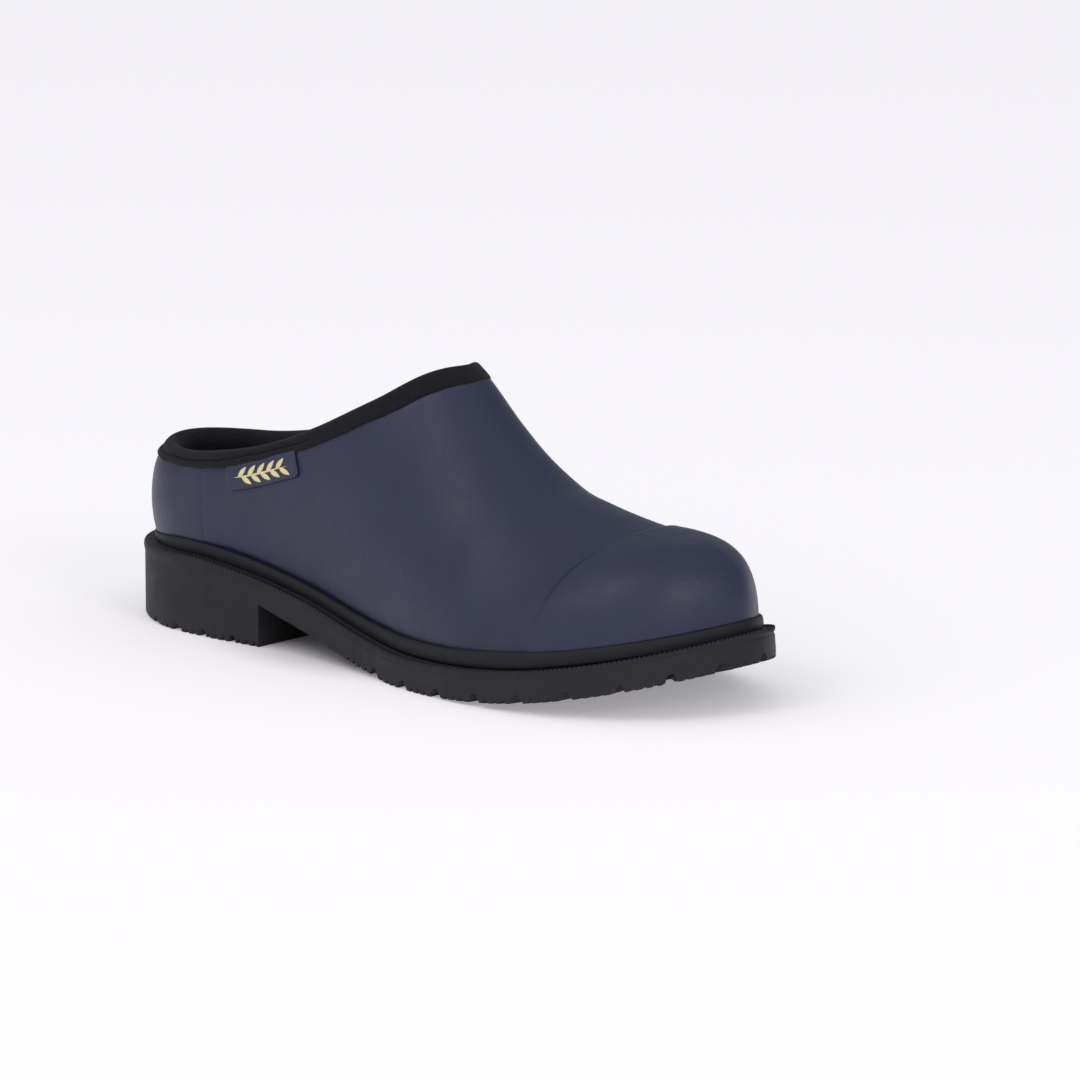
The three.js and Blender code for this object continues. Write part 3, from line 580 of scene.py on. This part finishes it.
# height over the rand's foot, whether on its outer face, and how far that face bulges
RAND_PROFILE = [
    (0, 0, 0), (0, 1, -0.12), (0.3, 1, 0.04), (1.2, 1, 0.12), (2.4, 1, 0.14), (3.4, 1, 0.08), (4.2, 1, -0.04),
    (4.8, 1, -0.2), (5.15, 1, -0.4), (5.35, 1, -0.65), (5.46, 1, -0.95), (RAND_HEIGHT, 0, 0),
]
rings = []
for height, out, extra in RAND_PROFILE:
    t = climb(base, height * rand_height) if height else np.zeros(len(base.sec.u))
    rings.append(on_skin(base, t, np.maximum(rand_face + extra, rand_in + 0.05) if out else rand_in))
sweep("rand_visual", np.stack(rings, 1), rand_black, replaces=["rand_strip"], slot="rand_rubber")


# ---- outsole ----
KNURL_PITCH = 1.75
NOTCH_WIDE, NOTCH_DEEP = 3.5, 3.1
FORE_FROM, FORE_PITCH, FORE_LONG = 5.0, 18.4, 24.0
HEEL_FROM, HEEL_PITCH, HEEL_LONG = -72.6, 14.1, 13.0
SERRATION, SERRATION_WIDE, SERRATION_DEEP = FORE_PITCH / 5, 1.5, 1.5
SERRATED_FROM = -14.0
HEEL_POCKET_FROM, HEEL_POCKET_TO, HEEL_POCKET_HALF, HEEL_POCKET_FLOOR = -122, -72, 19, 7.0
FORE_POCKET_FROM, FORE_POCKET_INSET, FORE_POCKET_DEEP = 34, 16, 4.5
SHANK_FROM, SHANK_TO, SHANK_HALF, SHANK_SLOT, SHANK_Y = -64, 22, 8.0, 2.4, 0.9
CHANNEL_FROM, CHANNEL_TO, CHANNEL_DEEP = 12, 112, 2.4


class Rays:
    """Rays from the foot's centre line out to a plan loop, at stations u on a side."""

    def __init__(self, u, side, loop):
        sec = Sections(u, side)
        self.centre, self.dir, self.x = sec.centre, sec.dir, sec.x
        self.reach = np.concatenate([reach_to(loop, c, d) for c, d in
                                     zip(np.array_split(self.centre, 8), np.array_split(self.dir, 8))])

    def point(self, r, z):
        r = np.broadcast_to(r, self.reach.shape)
        xy = self.centre + self.dir * r[:, None]
        height = z(xy[:, 0]) if callable(z) else z
        return np.concatenate([xy, np.reshape(np.broadcast_to(height, len(xy)), (-1, 1))], 1)


def plan_stations(loop, step, extra=()):
    """Stations of both sides, about step apart along a plan loop."""
    out = []
    for side in (-1, 1):
        u = np.linspace(0, 3, 1500)
        rays = Rays(u, np.full(len(u), side), loop)
        p = rays.point(rays.reach, 0)[:, :2]
        arc = np.concatenate([[0], np.cumsum(np.linalg.norm(np.diff(p, axis=0), axis=1))])
        v = np.interp(np.linspace(0, arc[-1], int(arc[-1] / step)), arc, u)
        v = np.unique(np.concatenate([v, np.asarray(extra, float)]))
        out.append(v)
    lateral, medial = out
    return (np.concatenate([lateral, medial[1:-1][::-1]]),
            np.concatenate([-np.ones(len(lateral)), np.ones(len(medial) - 2)]))


def outsole():
    breast = [u_at(HEEL_BREAST_X + dx) for dx in (-0.5, -0.3, -0.15, -0.05, -0.004, 0.004, 0.1, 0.3)]
    u, side = plan_stations(outline, 0.33, breast)
    rays = Rays(u, side, outline)
    R, x = rays.reach, rays.x
    R = R - 0.45 * smooth((-112 - rays.point(R, 0)[:, 0]) / 15)
    edge = rays.point(R, 0)[:, :2]
    arc = np.concatenate([[0], np.cumsum(np.linalg.norm(np.diff(edge, axis=0), axis=1))])
    ex = edge[:, 0]
    heel_side = x < HEEL_BREAST_X
    under = lambda q: np.where(heel_side, 0.0, arch_z(q))

    # notches where the tread's grooves meet the edge
    def arc_at(where, s):
        mine = np.where(side == s)[0]
        return arc[mine[np.argmin(abs(ex[mine] - where))]]

    first, last = arc_at(FORE_FROM, -1), arc_at(FORE_FROM, 1)
    fore = np.arange(first, last, FORE_PITCH)
    total = arc[-1] + np.linalg.norm(edge[-1] - edge[0])
    heel = [(arc_at(HEEL_FROM, s) + s * i * HEEL_PITCH) % total for s in (-1, 1) for i in range(5)]

    def trough(centres, wide, deep):
        near = np.min([abs((arc - c + total / 2) % total - total / 2) for c in centres], axis=0)
        return deep * np.sqrt(np.clip(1 - (near / (wide / 2)) ** 4, 0, 1))

    fore_n = trough(fore, NOTCH_WIDE + 0.4 * smooth((ex - 60) / 60), NOTCH_DEEP)
    heel_n = trough(heel, NOTCH_WIDE * 0.8, NOTCH_DEEP * 0.8)
    notch = np.where(heel_side, heel_n, fore_n)
    notch[(x > HEEL_BREAST_X) & (ex < FORE_FROM - 3)] = 0
    phase = (arc - first) % SERRATION / SERRATION
    off_centre = abs(phase - 0.5) * SERRATION / (SERRATION_WIDE / 2)
    saw = SERRATION_DEEP * np.sqrt(np.clip(1 - off_centre**2, 0, 1))
    tread = (ex > SERRATED_FROM) | heel_side
    saw = np.where(tread & (notch < 0.01), saw, 0)
    reach_in = np.where(heel_side, HEEL_LONG, FORE_LONG)

    knurl = 0.5 - 0.5 * np.cos(2 * np.pi * arc / KNURL_PITCH)
    bead = smooth((-92 - ex) / 8)
    knurl = np.clip(knurl * 1.7 - 0.6, 0, 1) * (1 - bead)
    toe_lean = 0.4 * smooth((ex - 100) / 30)
    corner = 0.4 + 1.5 * smooth((-95 - ex) / 25)

    # hidden pockets in the top, for the heel's core, the shank and the forepart's filler
    turn = np.linspace(0, math.pi, 40)
    half = HEEL_POCKET_HALF
    back = [(HEEL_POCKET_FROM + half - half * math.sin(a), SHANK_Y - half * math.cos(a)) for a in turn]
    front = [(HEEL_POCKET_TO - half + half * math.sin(a), SHANK_Y + half * math.cos(a)) for a in turn]
    pocket_edge = np.full(len(u), SHANK_HALF)
    pocket_z = rim_z(x) - SHANK_SLOT
    in_heel = x < HEEL_POCKET_TO - 0.5
    pocket_edge[in_heel] = reach_to(np.array(back + front), rays.centre[in_heel], rays.dir[in_heel])
    behind_shank = (x >= HEEL_POCKET_TO - 0.5) & (x < SHANK_FROM)
    plain = behind_shank | ((x > SHANK_TO) & (x < FORE_POCKET_FROM))
    pocket_z[plain] = rim_z(x[plain]) - 0.05
    fore_pocket = x >= FORE_POCKET_FROM
    pocket_edge[fore_pocket] = np.minimum(R[fore_pocket] - FORE_POCKET_INSET, 60)

    rows = []
    put = lambda r, z: rows.append(rays.point(r, z))
    behind_fore = np.where(in_heel, HEEL_POCKET_FLOOR, pocket_z)
    floor_z = lambda q: np.where(fore_pocket, rim_z(q) - FORE_POCKET_DEEP, behind_fore)
    put(0.0, floor_z)
    put(pocket_edge, floor_z)
    put(pocket_edge, rim_z)
    put(R - 7.5, rim_z)
    put(R - 3.5, rim_z)
    put(R - 3.0, lambda q: rim_z(q) - 0.5 * (1 - bead))
    put(R - 2.0, lambda q: rim_z(q) - 0.55 * (1 - bead))
    put(R - 1.5, lambda q: rim_z(q) - 0.3 + 0.5 * knurl)
    put(R - 0.8 - 0.3 * bead, lambda q: rim_z(q) - 0.15 + 0.65 * knurl)
    put(R - 0.3 + 0.15 * knurl + 0.1 * bead, lambda q: rim_z(q) - 0.4 + 0.65 * knurl - 0.1 * bead)
    put(R - 0.2 + 0.35 * knurl + 0.5 * bead, lambda q: rim_z(q) - 0.8 + 0.4 * knurl - 0.5 * bead)
    put(R - 0.2 + 0.25 * knurl + 0.6 * bead, lambda q: rim_z(q) - 1.3 - 1.0 * bead)
    put(R - 0.35 + 0.6 * bead, lambda q: rim_z(q) - 1.9 - 1.6 * bead)
    put(R - 0.3 + 0.3 * bead, lambda q: rim_z(q) - 2.3 - 2.2 * bead)
    put(R, lambda q: rim_z(q) - 2.9 - 2.6 * bead)
    zb = notch + saw
    high = lambda q: rim_z(q) - 3.2 - 2.6 * bead
    for w in (0.0, 0.2, 0.4, 0.6, 0.8, 0.92):
        low = lambda q: np.minimum(under(q) + np.maximum(corner, zb + 0.25), high(q) - 0.5)
        put(R + toe_lean * (0.1 + 0.9 * w), lambda q: high(q) * (1 - w) + low(q) * w)
    for a in (0, 20, 40, 60, 78, 90):
        s, c = math.sin(math.radians(a)), math.cos(math.radians(a))
        round_z = lambda q: under(q) + np.maximum(zb, corner * (1 - s)) + 0.02 * zb * c
        put(R + toe_lean - corner * (1 - c), round_z)
    for r, sawn in ((1.2, 1), (2.5, 1), (5.5, 1), (6.0, 0)):
        put(R - np.maximum(r, corner + 0.2), lambda q: under(q) + notch + saw * sawn)
    put(R - reach_in + 0.6, lambda q: under(q) + notch)
    put(R - reach_in, under)
    put(np.minimum(R - reach_in - 1, np.maximum((R - reach_in) * 0.6, 3.5)), under)
    channel = np.where((x > CHANNEL_FROM) & (x < CHANNEL_TO), CHANNEL_DEEP, 0.0)
    put(2.4, under)
    put(2.1, lambda q: under(q) + channel)
    put(0.0, lambda q: under(q) + channel)
    grid = np.stack(rows, 1)
    n, m = grid.shape[:2]
    return make("outsole_visual", grid.reshape(-1, 3), grid_faces(n, m, 0, True, False), sole_black,
                replaces=["outsole"], slot="outsole_rubber", merge=0.0015)


outsole()

# ---- the mouth's edge ----
skin_mesh = (base.p.reshape(-1, 3).tolist(), grid_faces(len(base.p), base.p.shape[1], 0, True).tolist())
skin_tree = BVHTree.FromPolygons([Vector(v) for v in skin_mesh[0]], skin_mesh[1])


def mouth_curve(step):
    """Points round the mouth's edge with normals and the way down the skin, evenly spaced."""
    along = HEEL_FAN_X + (THROAT_X - HEEL_FAN_X) * np.sin(np.linspace(0, math.pi / 2, 160))
    u = np.unique(np.concatenate([np.linspace(0, 1, 60), u_at(along)]))
    u[-1] = U_THROAT
    uu = np.concatenate([u, u[1:-1][::-1]])
    ss = np.concatenate([-np.ones(len(u)), np.ones(len(u) - 2)])
    edge = Skin(uu, ss, 2)
    p, n = edge.p[:, -1], edge.n[:, -1]
    ring = np.concatenate([p, p[:1]])
    arc = np.concatenate([[0], np.cumsum(np.linalg.norm(np.diff(ring, axis=0), axis=1))])
    count = int(arc[-1] / step)
    at = np.linspace(0, arc[-1], count, endpoint=False)
    p = np.stack([np.interp(at, arc, ring[:, k]) for k in range(3)], 1)
    nr = np.concatenate([n, n[:1]])
    n = np.stack([np.interp(at, arc, nr[:, k]) for k in range(3)], 1)
    for _ in range(int(6 / step)):
        p = (np.roll(p, 1, 0) + p * 2 + np.roll(p, -1, 0)) / 4
        n = (np.roll(n, 1, 0) + n * 2 + np.roll(n, -1, 0)) / 4
    along = np.roll(p, -1, 0) - np.roll(p, 1, 0)
    along /= np.linalg.norm(along, axis=1)[:, None]
    n -= along * (n * along).sum(1)[:, None]
    n /= np.linalg.norm(n, axis=1)[:, None]
    return p, n, np.cross(along, n), at, arc[-1]


edge_p, edge_n, edge_down, edge_at, edge_length = mouth_curve(1.2)


def below_mouth(p, n, down, depth, d):
    """A point at a depth below the mouth's edge, d outside the skin."""
    q = p + down * depth
    if depth <= 0:
        return q + n * d
    near, normal, _, _ = skin_tree.find_nearest(Vector(q))
    normal = np.array(normal)
    normal *= 1 if normal @ n > 0 else -1
    blend = n * 0.5 + normal * 0.5
    return np.array(near) + blend / np.linalg.norm(blend) * d


def outer_drop(x):
    return DROP_HEEL + (DROP_THROAT - DROP_HEEL) * float(np.clip((x + 55) / (THROAT_X + 55), 0, 1))


HEEL_PULL, HEEL_PULL_LONG = 1.7, 3.2  # how far the binding's outside is drawn in at the back of the heel


def collar_binding():
    """The rolled binding: a cross-section carried round the mouth, from the inner leg to the outer."""
    rings = []
    for i in range(len(edge_p)):
        p, n, down = edge_p[i], edge_n[i], edge_down[i]
        x = p[0]
        fade = 1 - float(smooth((x - COUNTER_X) / 36))
        heel = float(smooth((-98 - x) / 25))
        crown = 1.15 - 0.28 * float(smooth((x + 110) / 55)) - 0.16 * float(smooth((x + 2) / 14))
        thin = 1 - 0.6 * float(smooth((x - 3) / 7))
        out = GAP + SHELL - TUCK + 0.35 + (GAP + STIFFENER) * fade
        li = -(LINING + 0.4)
        mid = (out + li) / 2
        s = edge_at[i] / edge_length * 2 * math.pi
        wave = 0.13 * math.sin(7 * s + 0.6) + 0.1 * math.sin(17 * s + 1.1) + 0.07 * math.sin(31 * s)
        fold = 1 - float(smooth((x + 50) / 22))
        low = outer_drop(x) + wave
        lip = low - 2.5
        spots = [
            (INNER_DROP, li), (INNER_DROP + 0.15, li - 0.5), (INNER_DROP, li - 1.0),
            (INNER_DROP - 0.8, li - 1.4), (3.0, li - 1.5 - wave * 0.4), (1.6, li - 1.55),
            (0.3, li - 1.5), (-0.8, li - 1.15), (-1.7, li - 0.4),
            (-2.35, li + 0.5), (-2.8, li + 1.5), (-3.05, mid - 0.5), (-3.1 - wave * 0.3, mid + 0.6),
            (-2.95, out - 1.1), (-2.6, out - 0.3), (-2.0, out + 0.45), (-1.2, out + 0.95), (-0.4, out + 1.15),
            (lip - 0.5, out + 1.2 + wave * 0.3), (lip - 0.2, out + 1.2 - 0.2 * fold),
            (lip, out + 1.2 - 0.7 * fold), (lip + 0.2, out + 1.2 - 0.75 * fold),
            (lip + 0.4, out + 1.2 - 0.3 * fold), (lip + 0.8, out + 1.2),
            (lip + 1.4, out + 1.2), (low - 0.55, out + 1.1), (low - 0.2, out + 0.85), (low, out + 0.45),
            (low - 0.1, out + 0.05), (low - 0.9, out), (low * 0.4, out), (-0.4, out),
            (-0.4, li), (1.5, li), (3.5, li),
        ]
        rings.append([])
        for a, b in spots:
            outside = float(smooth((b - mid) / (out + 1.2 - mid)))
            pull = HEEL_PULL * heel * outside * min(1.0, max(0.0, 1 - a / HEEL_PULL_LONG))
            b = min(b, out) + max(0.0, b - out) * thin - pull
            rings[-1].append(below_mouth(p, n, down, a * crown if a < -0.5 else a, b))
    return sweep("collar_binding_visual", np.array(rings), binding_cloth,
                 replaces=["collar_binding"], slot="binding_knit")


collar_binding()


# ---- label and its emblem ----
def edge_frame(x):
    """Frame on the lateral edge of the mouth at x."""
    mine = np.where((edge_n[:, 1] < 0) & (edge_p[:, 0] > -125))[0]
    order = mine[np.argsort(edge_p[mine, 0])]
    pick = lambda a: np.array([np.interp(x, edge_p[order, 0], a[order, k]) for k in range(3)])
    n, down = pick(edge_n), pick(edge_down)
    return pick(edge_p), n / np.linalg.norm(n), down / np.linalg.norm(down)


LABEL_MID, LABEL_HALF = (LABEL_FROM + LABEL_TO) / 2, (LABEL_TO - LABEL_FROM) / 2
LABEL_MID_DEPTH = LABEL_DROP / 2 + 0.1
LABEL_ROWS, LABEL_COLUMNS = 26, 48
LABEL_CORNER, LABEL_EDGE = 2.2, 0.4
frames = {}


def on_label(a, depth, d):
    """A point on the label, a along it from its middle and depth below the binding."""
    key = round(a, 2)
    if key not in frames:
        frames[key] = edge_frame(LABEL_MID + key)
    full = outer_drop(LABEL_MID + key) + depth
    shell = GAP + SHELL - TUCK * float(smooth(1 - full / TUCK_LONG))
    return below_mouth(*frames[key], full, shell + 0.05 + d)


def dense_ends(n, half):
    w = np.linspace(-1, 1, n)
    return half * np.sign(w) * (1 - (1 - abs(w)) ** 1.6)


def label():
    top, low = -0.7, LABEL_DROP + 0.4
    mid, half = (top + low) / 2, (low - top) / 2
    corner = LABEL_CORNER
    cols = LABEL_COLUMNS
    rows = dense_ends(LABEL_ROWS, half)
    front, back = [], []
    for y in rows:
        over = max(0.0, abs(y) - (half - corner)) if y > 0 else 0.0
        w = LABEL_HALF - (corner - math.sqrt(max(0.0, corner**2 - over**2)))
        for a in dense_ends(cols, w):
            edge = min(w - abs(a), half - abs(y) if y > 0 else 5.0)
            rise = math.sqrt(1 - (1 - min(1.0, edge / LABEL_EDGE)) ** 2)
            front.append(on_label(a, mid + y, LABEL_THICK * rise))
            back.append(on_label(a, mid + y, 0.0))
    under = LABEL_ROWS * cols
    faces = np.concatenate([grid_faces(LABEL_ROWS, cols), grid_faces(LABEL_ROWS, cols, under)[:, ::-1]])
    sides = [[j, j + 1, under + j + 1, under + j] for j in range(cols - 1)]
    return make("label_visual", front + back, [tuple(f) for f in faces] + sides, label_navy,
                replaces=["label_tab"], slot="label_rubber", merge=0.02)


def leaf(verts, faces, a0, y0, angle, long, wide, thick=0.28):
    """A pointed leaf with a raised midrib, as a closed lens."""
    n, m = 14, 7
    ca, sa = math.cos(angle), math.sin(angle)
    start = len(verts)
    for top in (1, 0):
        for i in range(n):
            w = i / (n - 1)
            half = wide / 2 * math.sin(math.pi * w ** 0.8) ** 0.8 if 0 < w < 1 else 0.0
            for j in range(m):
                v = -1 + 2 * j / (m - 1)
                px, py = w * long, v * half
                dome = math.sqrt(max(0.0, 1 - v * v * 0.98)) * 0.8 + 0.2 * (1 - abs(v))
                lift = thick * dome * (1 if 0 < w < 1 else 0)
                d = LABEL_THICK + (lift if top else -0.15)
                verts.append(on_label(a0 + px * ca - py * sa, LABEL_MID_DEPTH - (y0 + px * sa + py * ca), d))
    for top in (0, 1):
        part = grid_faces(n, m, start + top * n * m)
        faces.extend(tuple(f) for f in (part if top == 0 else part[:, ::-1]))
    for i in range(n - 1):
        for j in (0, m - 1):
            a = start + i * m + j
            faces.append((a, a + m, a + m + n * m, a + n * m))


def emblem():
    """A sprig: one long stem with pairs of leaves."""
    verts, faces = [], []
    leaf(verts, faces, -13, 0, 0, 26, 0.75)
    for i in range(5):
        a = -10.5 + i * 4.5
        leaf(verts, faces, a, 0.1, math.radians(38), 5.0, 1.9)
        leaf(verts, faces, a + 1.6, -0.1, math.radians(-38), 5.0, 1.9)
    return make("emblem_visual", verts, faces, print_look("emblem_gold"), replaces=["label_emblem"],
                slot="emblem_gold", merge=0.01)


label()
emblem()


# ---- footbed ----
BOARD, SOCK, FOAM, COVER = 2, 0.8, 4, 1
FOOTBED_HEEL_INSET, FOOTBED_TOE_INSET = 14.4, 16.5


def footbed_piece(name, low, high, material, node, slot, dish):
    """A slab inside the shoe from low to high over the sole's top, its heel's edges raised by dish."""
    widen = FOOTBED_TOE_INSET - FOOTBED_HEEL_INSET
    loop = inset(outline, FOOTBED_HEEL_INSET + widen * smooth((outline[:, 0] + 20) / 110))
    u, side = plan_stations(loop, 1.6)
    rays = Rays(u, side, loop)
    R = rays.reach
    rows = []
    bottom = lambda q: rim_z(q) + low
    for w in (0.0, 0.25, 0.5, 0.7, 0.85, 0.95):
        rows.append(rays.point(R * w, bottom))
    thick = high - low
    round_edge = min(0.45, thick / 2.2)
    lift = dish * smooth((30 - rays.x) / 60)
    for a in np.radians([-90, -55, -20, 20, 55, 90]):
        z = (low + round_edge if a < 0 else high - round_edge) + round_edge * math.sin(a)
        up = 1.0 if a > 0 else 0.0
        rows.append(rays.point(R - round_edge * (1 - math.cos(a)), lambda q: rim_z(q) + z + lift * up))
    for w in (0.95, 0.88, 0.8, 0.7, 0.55, 0.4, 0.2, 0.0):
        top = lambda q: rim_z(q) + high + lift * smooth((w - 0.55) / 0.45)
        rows.append(rays.point((R - round_edge) * w, top))
    grid = np.stack(rows, 1)
    n, m = grid.shape[:2]
    piece = make(name, grid.reshape(-1, 3), grid_faces(n, m, 0, True, False), material, body=FOOTBED,
                 replaces=[node], slot=slot)
    return piece


FOAM_FROM = GAP + BOARD + GAP + SOCK + GAP
FOAM_TO = FOAM_FROM + FOAM
foam_black = foam_look("footbed_foam", (0.02, 0.02, 0.024), (0.035, 0.035, 0.04))
footbed_piece("footbed_foam_visual", FOAM_FROM, FOAM_TO, foam_black, "footbed_foam", "footbed_foam", 0.0)
footbed_piece("footbed_cover_visual", FOAM_TO + GAP, FOAM_TO + COVER + GAP, top_cloth,
              "footbed_cover", "footbed_fabric", 1.2)

# ---- floor, light and camera ----
FLOOR_SIZE = 40
PAINTED_SHADOW_LONG, PAINTED_SHADOW_WIDE = 0.06, 0.045  # metres: scale of the patch under the shoe where the floor doesn't glow, a painted shadow that deepens the shade on the floor under the shoe
FLOOR_GLOW = 0.31
bpy.ops.mesh.primitive_plane_add(size=FLOOR_SIZE, location=(0, 0, 0))
floor = bpy.context.object
floor.name = "floor"
floor_look = bpy.data.materials.new("floor")
floor_look.use_nodes = True
floor_shader = floor_look.node_tree.nodes["Principled BSDF"]
floor_shader.inputs["Base Color"].default_value = (0.86, 0.855, 0.868, 1)
floor_shader.inputs["Roughness"].default_value = 0.9
floor_shader.inputs["Specular IOR Level"].default_value = 0.0
floor_shader.inputs["Emission Color"].default_value = (0.93, 0.905, 0.955, 1)
place = floor_look.node_tree.nodes.new("ShaderNodeTexCoord").outputs["Object"]
plan = floor_look.node_tree.nodes.new("ShaderNodeMapping")
plan.inputs["Location"].default_value = (0.5, 0, 0)
plan.inputs["Scale"].default_value = (1 / PAINTED_SHADOW_LONG, 1 / PAINTED_SHADOW_WIDE, 0)
reach = floor_look.node_tree.nodes.new("ShaderNodeVectorMath")
reach.operation = "LENGTH"
# The floor's glow fades out in the patch under the shoe: painted shadow under the shoe, on top of the real
# one.
glow = floor_look.node_tree.nodes.new("ShaderNodeMapRange")
glow.interpolation_type = "SMOOTHSTEP"
glow.inputs["From Min"].default_value = 0.6
glow.inputs["From Max"].default_value = 1.3
glow.inputs["To Max"].default_value = FLOOR_GLOW
floor_look.node_tree.links.new(place, plan.inputs["Vector"])
floor_look.node_tree.links.new(plan.outputs["Vector"], reach.inputs[0])
floor_look.node_tree.links.new(reach.outputs["Value"], glow.inputs["Value"])
floor_look.node_tree.links.new(glow.outputs["Result"], floor_shader.inputs["Emission Strength"])
floor.data.materials.append(floor_look)

AZIMUTH, ELEVATION = math.radians(41.3), math.radians(11.9)
LENS, SENSOR = 250.9, 36  # millimetres
AIM_RIGHT, AIM_UP, CAMERA_AWAY = 0.0339, 0.0413, 2.65  # metres, from the world's origin
BACK = Vector((math.sin(AZIMUTH) * math.cos(ELEVATION), -math.cos(AZIMUTH) * math.cos(ELEVATION),
               math.sin(ELEVATION)))
RIGHT = Vector((math.cos(AZIMUTH), math.sin(AZIMUTH), 0))
UP = BACK.cross(RIGHT)
camera_data = bpy.data.cameras.new("camera")
camera = bpy.data.objects.new("camera", camera_data)
bpy.context.collection.objects.link(camera)
camera_data.lens = LENS
camera_data.sensor_width = SENSOR
camera_data.clip_start, camera_data.clip_end = 0.1, 100
middle = Vector((cad_box[0][k] + cad_box[1][k] for k in range(3))) / 2
camera.location = RIGHT * AIM_RIGHT + UP * AIM_UP + BACK * CAMERA_AWAY
camera.rotation_euler = BACK.to_track_quat("Z", "Y").to_euler()
bpy.context.scene.camera = camera


LIGHT_AWAY, LIGHT_SIZE = 2.4, 0.7  # metres


def softbox(name, toward, power):
    """A square soft light, toward a direction in camera terms (right, up, back), aimed at the shoe."""
    data = bpy.data.lights.new(name, "AREA")
    data.size = LIGHT_SIZE
    data.energy = power
    light = bpy.data.objects.new(name, data)
    bpy.context.collection.objects.link(light)
    way = (RIGHT * toward[0] + UP * toward[1] + BACK * toward[2]).normalized()
    light.location = middle + way * LIGHT_AWAY
    light.rotation_euler = way.to_track_quat("Z", "Y").to_euler()


softbox("key", (-0.5, 0.62, 0.6), 5.0)
softbox("front", (0.45, 0.25, 0.85), 7.5)

# A studio that is bright above and to the left, dim towards the right.
world = bpy.data.worlds.new("world")
bpy.context.scene.world = world
world.use_nodes = True
sky = world.node_tree
bright_side = (RIGHT * -0.35 + Vector((0, 0, 1)) * 0.17 + BACK * 0.85).normalized()
way = sky.nodes.new("ShaderNodeTexCoord").outputs["Generated"]
facing = sky.nodes.new("ShaderNodeVectorMath")
facing.operation = "DOT_PRODUCT"
sky.links.new(way, facing.inputs[0])
facing.inputs[1].default_value = bright_side
spread = sky.nodes.new("ShaderNodeMapRange")
spread.interpolation_type = "SMOOTHSTEP"
spread.inputs["From Min"].default_value = -0.7
spread.inputs["From Max"].default_value = 0.95
spread.inputs["To Min"].default_value = 0.0
spread.inputs["To Max"].default_value = 1.0
sky.links.new(facing.outputs["Value"], spread.inputs["Value"])
shade = sky.nodes.new("ShaderNodeMix")
shade.data_type = "RGBA"
shade.inputs[6].default_value = (0.315, 0.35, 0.365, 1)
shade.inputs[7].default_value = (0.93, 0.895, 0.93, 1)
sky.links.new(spread.outputs["Result"], shade.inputs[0])
sky.links.new(shade.outputs[2], sky.nodes["Background"].inputs["Color"])
bpy.context.scene.view_settings.view_transform = "Standard"
